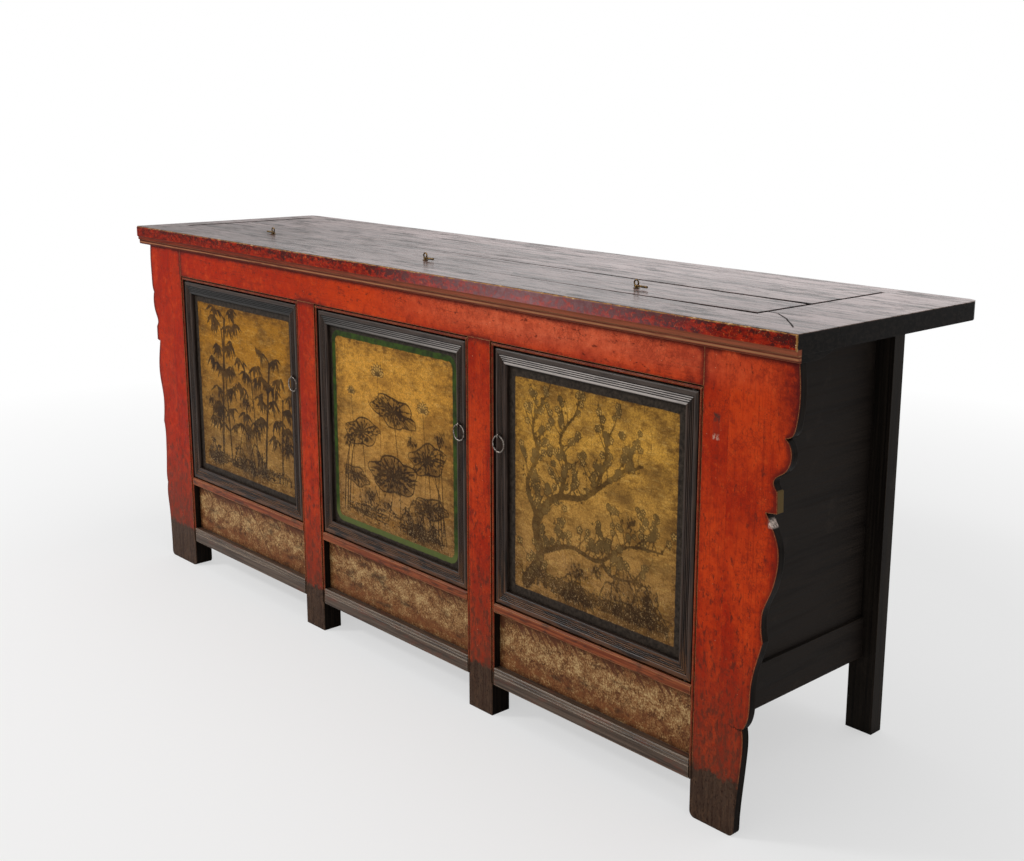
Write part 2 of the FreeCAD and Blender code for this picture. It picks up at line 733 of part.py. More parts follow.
def make_posts_and_sides(front, strip):
    """The posts of the front and back, with the rails, planks and boards that they hold."""
    step = size("foot_step")
    foot = size("foot_height")
    post_back = FRONT + size("post_depth")
    panel, low_rail, high_rail = make_side(strip)
    top_rail, low_rails, rear_panels = make_back()

    # The four posts of the back. The middle ones stop under the top rail.
    rear_post_x = (REAR_POST_INNER, REAR_POST_INNER + size("rear_post_width"))
    rear_post_y = (REAR_POST_FRONT, BACK)
    rear_blank = box(rear_post_x, rear_post_y, (0, SLAB_BOTTOM))
    mid_half = size("rear_mid_post_width") / 2
    rear_mid_blank = box((MID_CENTRE - mid_half, MID_CENTRE + mid_half), rear_post_y, (0, TOP_RAIL_BOTTOM))
    rear_blanks = [rear_blank, mirrored(rear_blank), rear_mid_blank, mirrored(rear_mid_blank)]

    # The four posts of the front.
    corner_outline = [
        (CORNER_INNER + step, 0), (CORNER_OUTER, 0), (CORNER_OUTER, FRAME_TOP), (CORNER_INNER, FRAME_TOP),
        (CORNER_INNER, foot), (CORNER_INNER + step, foot),
    ]
    worn = size("foot_round")
    worn_start = CORNER_INNER + step
    worn_corner = cut(
        box((worn_start, worn_start + worn), (FRONT, post_back), (0, worn)),
        rod("Y", worn, (worn_start + worn, FRONT, worn), size("post_depth")),
    )
    corner_blank = cut(pad("XZ", corner_outline, FRONT, size("post_depth")), worn_corner)
    left_edge, right_edge = HALF_OPENING, HALF_OPENING + size("mid_post_width")
    mid_outline = [
        (left_edge + step, 0), (right_edge - step, 0), (right_edge - step, foot), (right_edge, foot),
        (right_edge, BEAD_TOP), (left_edge, BEAD_TOP), (left_edge, foot), (left_edge + step, foot),
    ]
    mid_blank = pad("XZ", mid_outline, FRONT, size("post_depth"))
    front_blanks = [mid_blank, mirrored(mid_blank), corner_blank, mirrored(corner_blank)]

    # The floor rests on two bearers, on the side rails and on the back rails.
    bearer_half = size("bearer_width") / 2
    housing = size("groove_depth")
    bearer = box(
        (MID_CENTRE - bearer_half, MID_CENTRE + bearer_half),
        (post_back - housing, REAR_POST_FRONT + housing),
        (FLOOR_BOTTOM - size("bearer_height"), FLOOR_BOTTOM),
    )
    floor_start = FRONT + size("rail_depth")
    board_depth = (REAR_PANEL_FRONT - floor_start) / FLOOR_BOARDS
    floor_reach = CORNER_INNER + size("floor_bearing")
    floor_boards = []
    for index in range(FLOOR_BOARDS):
        start = floor_start + board_depth * index
        floor_boards.append(box((-floor_reach, floor_reach), (start, start + board_depth), (FLOOR_BOTTOM, FLOOR_TOP)))
    floor = cut(group(*floor_boards), *front_blanks, *rear_blanks, panel, mirrored(panel))
    node(floor, "floor_boards")
    node(group(bearer, mirrored(bearer)), "floor_bearers")

    # Each post is cut by what it holds, so every tenon and groove fits exactly.
    beads = front["beads"]
    front_parts = [front["top_rail"], *front["blanks"], *front["aprons"]]
    corner = cut(corner_blank, *front_parts, panel, low_rail, high_rail, beads["right"], strip)
    node(corner, "front_corner_post_right")
    node(mirrored(corner), "front_corner_post_left")
    tenon_start = FRONT + size("tenon_set_back")
    top_tenon = box(
        (MID_CENTRE - bearer_half, MID_CENTRE + bearer_half),
        (tenon_start, tenon_start + size("tenon_thick")),
        (BEAD_TOP, BEAD_TOP + size("tenon_length")),
    )
    mid = fuse(cut(mid_blank, *front_parts, bearer, beads["right"], beads["middle"]), top_tenon)
    node(mid, "front_mid_post_right")
    node(mirrored(mid), "front_mid_post_left")
    sockets = [pivot_socket(bay, OPENING_TOP) for bay in BAYS]
    long_rail = cut(front["top_rail"], top_tenon, mirrored(top_tenon), *beads.values(), *sockets)
    node(long_rail, "front_top_rail")
    for bay in BAYS:
        node(cut(front["sills"][bay], pivot_socket(bay, OPENING_BOTTOM)), f"sill_rail_{bay}")

    # The sides and the back.
    low_fitted = cut(low_rail, panel, floor)
    node(group(low_fitted, mirrored(low_fitted)), "side_bottom_rails")
    node(group(high_rail, mirrored(high_rail)), "side_top_rails")
    node(panel, "side_panel_right")
    node(mirrored(panel), "side_panel_left")
    rear_corner = cut(rear_blank, top_rail, *low_rails, *rear_panels, panel, low_rail)
    node(group(rear_corner, mirrored(rear_corner)), "rear_corner_posts")
    rear_tenon_start = REAR_RAIL_FRONT + (size("rear_rail_thick") - size("tenon_thick")) / 2
    rear_tenon = box(
        (MID_CENTRE - bearer_half, MID_CENTRE + bearer_half),
        (rear_tenon_start, rear_tenon_start + size("tenon_thick")),
        (TOP_RAIL_BOTTOM, TOP_RAIL_BOTTOM + size("tenon_length")),
    )
    rear_mid = fuse(cut(rear_mid_blank, *low_rails, *rear_panels, bearer), rear_tenon)
    node(group(rear_mid, mirrored(rear_mid)), "rear_mid_posts")
    node(group(*[cut(rail, *rear_panels) for rail in low_rails]), "rear_bottom_rails")
    node(cut(top_rail, *rear_panels, rear_tenon, mirrored(rear_tenon)), "rear_top_rail")
    node(group(*rear_panels), "rear_panels")


def pivot_place(bay):
    """The upright line on which a door turns."""
    left, right = bay_edges(bay)
    inset = size("door_gap") + size("pivot_from_edge")
    x = left + inset
    if HINGE_SIDE[bay] > 0:
        x = right - inset
    return x, DOOR_FRONT + size("pivot_from_face")


def pivot_socket(bay, level):
    """The round hole that a door's wooden pivot turns in, above or below the opening."""
    x, y = pivot_place(bay)
    depth = size("pivot_length")
    return rod("Z", size("pivot_radius") + size("pivot_clearance"), (x, y, level - depth), depth * 2)


def make_door(bay):
    """A framed door: reeded and mitred in front, tenoned behind, with a panel in a groove."""
    left, right = bay_edges(bay)
    left, right = left + size("door_gap"), right - size("door_gap")
    width = size("door_frame_width")
    back = DOOR_FRONT + size("door_thick")
    layer = DOOR_FRONT + size("mitre_depth")
    groove = size("groove_depth")
    groove_front = DOOR_FRONT + size("door_panel_recess")
    groove_back = groove_front + size("door_panel_thick")

    # The section of a frame member: how far in from the outer edge, and the place along Y.
    section = [(0, back)]
    section += [(width * along, DOOR_FRONT + size("reed_depth") * deep) for along, deep in DOOR_FACE_shares]
    section += [(width, groove_front), (width - groove, groove_front), (width - groove, groove_back)]
    section += [(width, groove_back), (width, back)]

    tenon_y = (DOOR_FRONT + size("door_tenon_start"), DOOR_FRONT + size("door_tenon_start") + size("door_tenon_thick"))
    tenon_x = (left + width - size("door_tenon_length"), right - width + size("door_tenon_length"))
    margin = size("tenon_shoulder")
    rails = {}
    for name, edge, way in (("top", DOOR_TOP, -1), ("bottom", DOOR_BOTTOM, 1)):
        inner = edge + width * way
        profile = pad("YZ", [(y, edge + inset * way) for inset, y in section], left, right - left)
        mitre = pad("XZ", [(left, edge), (right, edge), (right - width, inner), (left + width, inner)],
                    DOOR_FRONT, size("mitre_depth"))
        straight = box((left + width, right - width), (layer, back), span(edge, inner))
        tenon_z = span(edge + margin * way, edge + (width - groove) * way)
        rails[name] = fuse(common(profile, fuse(mitre, straight)), box(tenon_x, tenon_y, tenon_z))

    stiles = {}
    for way, edge in ((-1, left), (1, right)):
        inner = edge - width * way
        profile = pad("XY", [(edge - inset * way, y) for inset, y in section], DOOR_BOTTOM, DOOR_TOP - DOOR_BOTTOM)
        mitre = pad("XZ", [(edge, DOOR_BOTTOM), (inner, DOOR_BOTTOM + width), (inner, DOOR_TOP - width), (edge, DOOR_TOP)],
                    DOOR_FRONT, size("mitre_depth"))
        straight = box(span(edge, inner), (layer, back), (DOOR_BOTTOM, DOOR_TOP))
        stiles[way] = cut(common(profile, fuse(mitre, straight)), rails["top"], rails["bottom"])

    # The wooden pivots are the ends of the hinge stile, and the rails are bored for them.
    hinge_side = HINGE_SIDE[bay]
    pivot_x, pivot_y = pivot_place(bay)
    top_pivot = rod("Z", size("pivot_radius"), (pivot_x, pivot_y, DOOR_TOP - width), width + size("pivot_length"))
    low_start = DOOR_BOTTOM - size("pivot_length")
    bottom_pivot = rod("Z", size("pivot_radius"), (pivot_x, pivot_y, low_start), width + size("pivot_length"))
    for name, level in (("top", DOOR_TOP - width), ("bottom", DOOR_BOTTOM)):
        bore = rod("Z", size("pivot_radius") + size("pivot_clearance"), (pivot_x, pivot_y, level), width)
        node(cut(rails[name], bore), f"door_{bay}_{name}_rail")
    node(fuse(stiles[hinge_side], top_pivot, bottom_pivot), f"door_{bay}_hinge_stile")

    play = size("door_panel_play")
    inset = width - groove + play
    node(
        box((left + inset, right - inset), (groove_front, groove_back), (DOOR_BOTTOM + inset, DOOR_TOP - inset)),
        f"door_{bay}_panel",
    )

    # The staple is driven through the lock stile, and its ring hangs in front.
    lock_edge = left
    if hinge_side < 0:
        lock_edge = right
    pull_x = lock_edge + hinge_side * width / 2
    eye = (pull_x, DOOR_FRONT - size("staple_stand_off"), PULL_HEIGHT)
    shank_start = eye[1] + size("staple_radius")
    clinch_half = size("clinch_length") / 2
    shank = rod("Y", size("staple_shank"), (pull_x, shank_start, eye[2]), back + size("staple_shank") - shank_start)
    clinch_start = (pull_x, back + size("staple_shank"), eye[2] - clinch_half)
    clinch = rod("Z", size("staple_shank"), clinch_start, size("clinch_length"))
    node(fuse(loop("X", size("staple_radius"), size("staple_wire"), eye), shank, clinch), f"door_{bay}_staple")
    bore_start = (pull_x, DOOR_FRONT - size("overrun"), eye[2])
    bore_radius = size("staple_shank") + size("staple_clearance")
    bore = rod("Y", bore_radius, bore_start, size("door_thick") + size("overrun") * 2)
    node(cut(stiles[-hinge_side], bore), f"door_{bay}_lock_stile")
    ring_centre = (pull_x, eye[1], eye[2] - size("pull_radius"))
    node(loop("Y", size("pull_radius"), size("pull_wire"), ring_centre), f"door_{bay}_ring_pull")


def write_nodes():
    """Checks every object and every sub-part, then writes one file for each."""
    for piece in doc.Objects:
        if "Invalid" in piece.State or "Error" in piece.State:
            raise RuntimeError(f"{piece.Label} did not build")
    os.makedirs("parts", exist_ok=True)
    for piece in NODES:
        shape = piece.Shape
        if shape.isNull() or not shape.isValid() or not shape.Solids:
            raise RuntimeError(f"{piece.Label} has no valid solid")
    for piece in NODES:
        piece.Shape.exportStep(f"parts/{piece.Label}.step")
        print(f"{piece.Label}: {len(piece.Shape.Solids)} solid(s)")
    print(len(NODES), "sub-parts")


front_rails = make_front_rails()
node(make_wing("right"), "front_wing_right")
node(mirrored(make_wing("left")), "front_wing_left")
make_top_boards()
moulding = make_top_moulding()
make_battens(moulding)
make_posts_and_sides(front_rails, moulding)
for bay_name in BAYS:
    make_door(bay_name)
for pin_side in PIN_PLACE_shares:
    make_lock_pin(pin_side)
doc.recompute()
write_nodes()
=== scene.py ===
# %% [markdown]
# # A painted sideboard, dressed in Blender
# The CAD model already holds every board, rail, door and ring at its true size and place.
# What is left for Blender is what the eye reads as age: lacquer that has rubbed through on the
# edges, ink pictures on a gold ground, dry dark planks at the sides, and small iron rings.
# Each cell below takes one piece or one finish, says what it is on the real object, and makes it.

# %% Load the frame
import math

import bpy
import numpy as np
from mathutils import Matrix, Vector


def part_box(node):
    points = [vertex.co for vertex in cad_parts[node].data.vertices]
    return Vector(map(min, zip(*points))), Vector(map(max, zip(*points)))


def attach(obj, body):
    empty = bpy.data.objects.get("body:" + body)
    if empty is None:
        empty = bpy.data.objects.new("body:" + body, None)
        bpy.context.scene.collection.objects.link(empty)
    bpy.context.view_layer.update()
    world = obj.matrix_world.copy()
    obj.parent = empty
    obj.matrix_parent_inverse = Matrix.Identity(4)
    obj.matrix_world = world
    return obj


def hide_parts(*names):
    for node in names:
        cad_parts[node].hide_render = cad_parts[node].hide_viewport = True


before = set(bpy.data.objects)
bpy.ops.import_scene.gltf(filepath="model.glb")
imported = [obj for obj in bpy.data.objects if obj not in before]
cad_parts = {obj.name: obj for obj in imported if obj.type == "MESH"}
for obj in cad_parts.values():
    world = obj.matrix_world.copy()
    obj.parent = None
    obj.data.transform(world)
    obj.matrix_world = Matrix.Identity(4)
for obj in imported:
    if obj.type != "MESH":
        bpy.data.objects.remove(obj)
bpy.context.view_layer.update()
MM = 0.001
BAYS = ("left", "middle", "right")

# %% [markdown]
# ## The camera
# The photograph was taken from the right-hand front corner, a little above the top, with a
# fairly long lens. The place and the turn of the camera were worked out from the corners of the
# slab, the doors and the feet. The picture's middle isn't where the lens points, because the
# photograph was cropped, and the camera's shift stands for that crop.

# %% Camera
CAMERA_PLACE = (2.23621, -1.86327, 1.22197)
CAMERA_RIGHT = Vector((0.70611, 0.70797, 0.013715))
CAMERA_UP = Vector((-0.160927, 0.141583, 0.976758))
CAMERA_BACK = Vector((0.689573, -0.691906, 0.213904))
CAMERA_LENS = 46.787
CAMERA_SHIFT = (-0.08628, -0.0408)
CAMERA_REACH = (0.05, 60.0)

camera_data = bpy.data.cameras.new("photo_camera")
camera = bpy.data.objects.new("photo_camera", camera_data)
bpy.context.scene.collection.objects.link(camera)
camera_data.lens = CAMERA_LENS
camera_data.shift_x, camera_data.shift_y = CAMERA_SHIFT
camera_data.clip_start, camera_data.clip_end = CAMERA_REACH
turn = Matrix((CAMERA_RIGHT, CAMERA_UP, CAMERA_BACK)).transposed()
camera.matrix_world = Matrix.Translation(CAMERA_PLACE) @ turn.to_4x4()
bpy.context.scene.camera = camera
print("The camera stands", round(camera.location.length, 2), "m from the middle of the floor")

# %% [markdown]
# ## One way to add a node
# Every finish below is a small network of nodes. One function adds a node, sets its options and
# fills its sockets, so a network reads as a list of steps. A colour is written as the hex value
# that it has on a screen, and is turned into the linear light that Blender mixes with.

# %% Colours and nodes
def linear(code):
    """The linear colour of a hex value, with full opacity."""
    shares = [int(code[start:start + 2], 16) / 255 for start in (1, 3, 5)]
    return [s / 12.92 if s <= 0.04045 else ((s + 0.055) / 1.055) ** 2.4 for s in shares] + [1.0]


def add(tree, kind, inputs=None, **settings):
    """Adds a node, sets its options, and fills its inputs with numbers, colours or other outputs."""
    node = tree.nodes.new("ShaderNode" + kind)
    for name, value in settings.items():
        setattr(node, name, value)
    for name, value in (inputs or {}).items():
        if isinstance(value, bpy.types.NodeSocket):
            tree.links.new(value, node.inputs[name])
        else:
            node.inputs[name].default_value = linear(value) if isinstance(value, str) else value
    return node


def bare_tree(owner):
    """The node tree of a world or a material, emptied."""
    owner.use_nodes = True
    owner.node_tree.nodes.clear()
    return owner.node_tree


print("White is", linear("#FFFFFF"))

# %% [markdown]
# ## A pale room
# The photograph shows the piece cut out on white. A large pale floor still catches its soft
# shadow, and it turns into plain white with distance, so no horizon shows. The world gives soft
# light from everywhere. The camera and anything glossy see it as white.

# %% Room
FLOOR_HALF = 14.0
FLOOR_WHITE = (0.55, 1.0)
SHADOW_REACH = (1.3, 3.2)
WORLD_LIGHT = 0.5

world = bpy.data.worlds.new("white_room")
bpy.context.scene.world = world
room = bare_tree(world)
path = add(room, "LightPath").outputs
seen = path["Is Camera Ray"]
for ray in ("Is Glossy Ray", "Is Transmission Ray"):
    seen = add(room, "Math", {0: seen, 1: path[ray]}, operation="MAXIMUM").outputs[0]
level = add(room, "MapRange", {"Value": seen, "To Min": WORLD_LIGHT, "To Max": 1.0})
sky = add(room, "Background", {"Color": "#FFFFFF", "Strength": level.outputs[0]})
add(room, "OutputWorld", {"Surface": sky.outputs[0]})

bpy.ops.object.select_all(action="DESELECT")
bpy.ops.mesh.primitive_plane_add(size=FLOOR_HALF * 2, location=(0, 0, 0))
floor = bpy.context.object
floor.name = "floor"
paper = bpy.data.materials.new("matt white paper")
sheet = bare_tree(paper)
away = add(sheet, "VectorMath", {0: add(sheet, "TexCoord").outputs["Object"]}, operation="LENGTH")
whiteness = add(sheet, "MapRange", {"Value": away.outputs["Value"],
                                    "From Min": SHADOW_REACH[0], "From Max": SHADOW_REACH[1],
                                    "To Min": FLOOR_WHITE[0], "To Max": FLOOR_WHITE[1]})
seen = add(sheet, "LightPath").outputs["Is Camera Ray"]
share = add(sheet, "Math", {0: whiteness.outputs[0], 1: seen}, operation="MULTIPLY")
matt = add(sheet, "BsdfDiffuse", {"Color": "#EDEDED"})
bright = add(sheet, "Emission", {"Color": "#FFFFFF", "Strength": 1.0})
mixed = add(sheet, "MixShader", {0: share.outputs[0], 1: matt.outputs[0], 2: bright.outputs[0]})
add(sheet, "OutputMaterial", {"Surface": mixed.outputs[0]})
floor.data.materials.append(paper)
print("The floor is", FLOOR_HALF * 2, "m wide")


# %% [markdown]
# ## Three lamps
# The photographer's flash stood far to the left of the camera and above it. It is small, so the
# rounds of the black door frames mirror it as thin bright lines. A wide lamp above the camera
# fills the front, and another one over the piece keeps the top alive. The right side stays in
# the shade, as it does in the photograph.

# %% Lamps
def soft_lamp(name, place, aim, size, power):
    """A flat lamp that looks at a point, with a width and a height."""
    data = bpy.data.lights.new(name, "AREA")
    data.shape = "RECTANGLE"
    data.size, data.size_y = size
    data.energy = power
    lamp = bpy.data.objects.new(name, data)
    bpy.context.scene.collection.objects.link(lamp)
    lamp.location = place
    lamp.rotation_euler = (Vector(aim) - Vector(place)).to_track_quat("-Z", "Y").to_euler()


soft_lamp("flash_lamp", (-2.75, -2.9, 2.95), (0.3, -0.25, 0.5), (0.8, 0.25), 70)
soft_lamp("fill_lamp", (0.2, -4.0, 2.4), (0, -0.25, 0.45), (2.4, 1.6), 5)
soft_lamp("high_lamp", (0.6, 0.4, 3.6), (0, 0, 0.6), (2.6, 2.6), 26)
bpy.context.scene.view_settings.view_transform = "Standard"
print("Three lamps and a white world are set")

# %% [markdown]
# ## What the finishes share
# Old lacquer is never one colour. Each finish starts from a ground colour and lays thin coats
# over it, and a random field says where a coat is thick or worn off. A field's features have a
# real size in millimetres along each axis, so the grain of an upright board runs up and the
# grain of a rail runs along. Each piece reads its own part of the pattern, because no two
# boards come from the same tree. A picture of old lacquer would repeat and stretch instead.
#
# A size is one number of millimetres, or one along the grain and one across it, or one along
# each axis. A row such as `(field, 0.4, 0.6)` stands for how far the field has come from 0.4 to
# 0.6, as a number from 0 to 1. Two more numbers in the row take the place of 0 and 1.

# %% Fields
PIECE_SHIFT = 50.0


class Fields:
    """The nodes of one material, and the fields that say where its coats lie."""

    def __init__(self, name, grain):
        self.material = bpy.data.materials.new(name)
        self.tree, self.grain = bare_tree(self.material), grain
        self.place = self.add("TexCoord").outputs["Object"]
        self.own = self.add("ObjectInfo").outputs["Random"]
        self.x, self.y, self.z = self.add("SeparateXYZ", {0: self.place}).outputs

    def add(self, kind, inputs=None, **settings):
        return add(self.tree, kind, inputs, **settings)

    def calc(self, operation, *values):
        """One step of arithmetic on fields and numbers."""
        return self.add("Math", dict(enumerate(values)), operation=operation).outputs[0]

    def vector(self, operation, *values):
        """One step of arithmetic on vectors."""
        return self.add("VectorMath", dict(enumerate(values)), operation=operation).outputs[0]

    def spread(self, size, shift):
        """The place, scaled so that one unit is one feature, with a size as in the text above."""
        sizes = size if isinstance(size, tuple) else (size, size)
        if len(sizes) == 2:
            sizes = [sizes[axis != self.grain] for axis in "XYZ"]
        scaled = self.vector("MULTIPLY", self.place, [1 / (mm * MM) for mm in sizes])
        return self.vector("ADD", scaled, self.calc("MULTIPLY_ADD", self.own, PIECE_SHIFT, shift))

    def cloud(self, size, shift, detail=4, roughness=0.55, warp=0):
        """A random field whose features have a size."""
        inputs = {"Vector": self.spread(size, shift), "Scale": 1.0, "Detail": detail,
                  "Roughness": roughness, "Distortion": warp}
        return self.add("TexNoise", inputs).outputs[0]

    def craze(self, size, shift):
        """1 on the fine lines of a net of cracks whose meshes have a size, 0 between them."""
        noise = self.add("TexNoise", {"Vector": self.spread(size, shift), "Scale": 0.7, "Detail": 3.0})
        bent = self.vector("MULTIPLY", noise.outputs["Color"], (1.4, 1.4, 1.4))
        place = self.vector("ADD", self.spread(size, shift), bent)
        net = self.add("TexVoronoi", {"Vector": place, "Scale": 1.0}, feature="DISTANCE_TO_EDGE")
        return self.share(net.outputs[0], 0.1, 0.02)

    def share(self, field, start, end, low=0.0, high=1.0):
        """How far a field has come from a start to an end."""
        inputs = {"Value": field, "From Min": start, "From Max": end, "To Min": low, "To Max": high}
        return self.add("MapRange", inputs).outputs[0]

    def product(self, *given, operation="MULTIPLY"):
        """Fields, numbers and rows, multiplied one after the other."""
        result, *others = (self.share(*one) if isinstance(one, tuple) else one for one in given)
        for field in others:
            result = self.calc(operation, result, field)
        return result

    def total(self, *given):
        """Fields, numbers and rows, added up."""
        return self.product(*given, operation="ADD")

    def within(self, field, low, high, soft):
        """1 where a field lies between two values, with soft ends."""
        return self.product((field, low - soft, low + soft), (field, high + soft, high - soft))

    def spot(self, area, soft):
        """1 on a small upright area of the front, given as its span along X and along Z."""
        return self.product(self.within(self.x, *area[0], soft), self.within(self.z, *area[1], soft))


print("A piece's own part of the pattern lies up to", PIECE_SHIFT, "features away")

# %% [markdown]
# ### Coats and wear
# A coat is a colour that lies over another one where a product of fields is high. Wear and shade
# could be painted on by hand, but two measures find them on every piece: near an arris a rounded
# normal differs from the real one, which finds wear, and deep in a corner or groove little open air
# is seen, which finds where shade is painted dark.

# %% Finish
class Finish(Fields):
    """One material with its shader and the colour laid so far."""

    def __init__(self, name, ground, specular=0.5, roughness=0.5, metallic=0.0, grain="X"):
        super().__init__(name, grain)
        self.colour = ground
        inputs = {"Specular IOR Level": specular, "Roughness": roughness, "Metallic": metallic}
        self.shader = self.add("BsdfPrincipled", inputs)
        self.add("OutputMaterial", {"Surface": self.shader.outputs[0]})

    def coat(self, under, over, *given):
        """One colour laid over another where the product of the fields is high."""
        return self.add("Mix", {0: self.product(*given), 6: under, 7: over}, data_type="RGBA").outputs[2]

    def mix(self, under, *coats):
        """A colour under some coats, each one a tone and the fields that share it out."""
        for over, *given in coats:
            under = self.coat(under, over, *given)
        return under

    def lay(self, over, *given):
        """One more coat on the finish."""
        self.colour = self.coat(self.colour, over, *given)

    def arris(self, radius):
        """Nearly 1 on sharp outer edges and 0 on flat wood."""
        rounded = self.add("Bevel", {"Radius": radius * MM}, samples=4).outputs[0]
        real = self.add("NewGeometry").outputs["Normal"]
        alike = self.add("VectorMath", {0: rounded, 1: real}, operation="DOT_PRODUCT").outputs["Value"]
        return self.share(alike, 0.995, 0.9)

    def rim(self, reach):
        """1 along the edges of a board and 0 farther in than a number of millimetres."""
        inside = self.add("AmbientOcclusion", {"Distance": reach * MM}, samples=8, inside=True,
                          only_local=True).outputs["AO"]
        return self.share(inside, 0.97, 0.6)

    def hollow_shade(self, reach):
        """Nearly 1 deep in a corner or a groove and 0 in the open, where shade is painted dark."""
        open_air = self.add("AmbientOcclusion", {"Distance": reach * MM}, samples=6).outputs["AO"]
        return self.share(open_air, 0.85, 0.25)

    def close(self, height, depth, eased=0.0, roughness=None):
        """Wires the colour, the roughness, and small dents and eased arrises in millimetres."""
        inputs = {"Strength": 1.0, "Distance": depth * MM, "Height": height}
        if eased:
            inputs["Normal"] = self.add("Bevel", {"Radius": eased * MM}, samples=6).outputs[0]
        wires = {"Base Color": self.colour, "Normal": self.add("Bump", inputs).outputs[0]}
        if roughness is not None:
            wires["Roughness"] = self.product(roughness)
        for socket, source in wires.items():
            self.tree.links.new(source, self.shader.inputs[socket])


print("A finish knows", len([name for name in dir(Finish) if name[0] != "_"]), "ways to make a node")

# %% [markdown]
# ## Red lacquer
# The posts, wings and long rail of the front are pine under a red-orange lacquer. It is darker
# in streaks along the grain and browner towards the floor, and rubbing has cut it through in
# specks, scuffs and chips. The lobes of the wings are worn to a thin tan line, and mops and damp
# have turned the feet grey-brown. The lacquer stops at the front face, and the edges of the
# boards are bare dark wood. The coats are laid one by one, because each kind of wear has its own
# place, which height, distance from an edge or a spot on the front can tell.

# %% Red lacquer
FRONT_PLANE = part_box("front_wing_right")[0].y
WING_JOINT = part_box("front_wing_right")[0].x
OVER_DOORS = (0.765, 0.8)
FOOT_STAIN = 0.1
PUTTY = ((1.004, 1.034), (0.586, 0.624))
OLD_PATCH = ((0.8895, 0.904), (0.683, 0.727))
PALE_CHIP = ((1.01, 1.032), (0.562, 0.584))
WING_SPLIT = (0.2135, 0.2165)


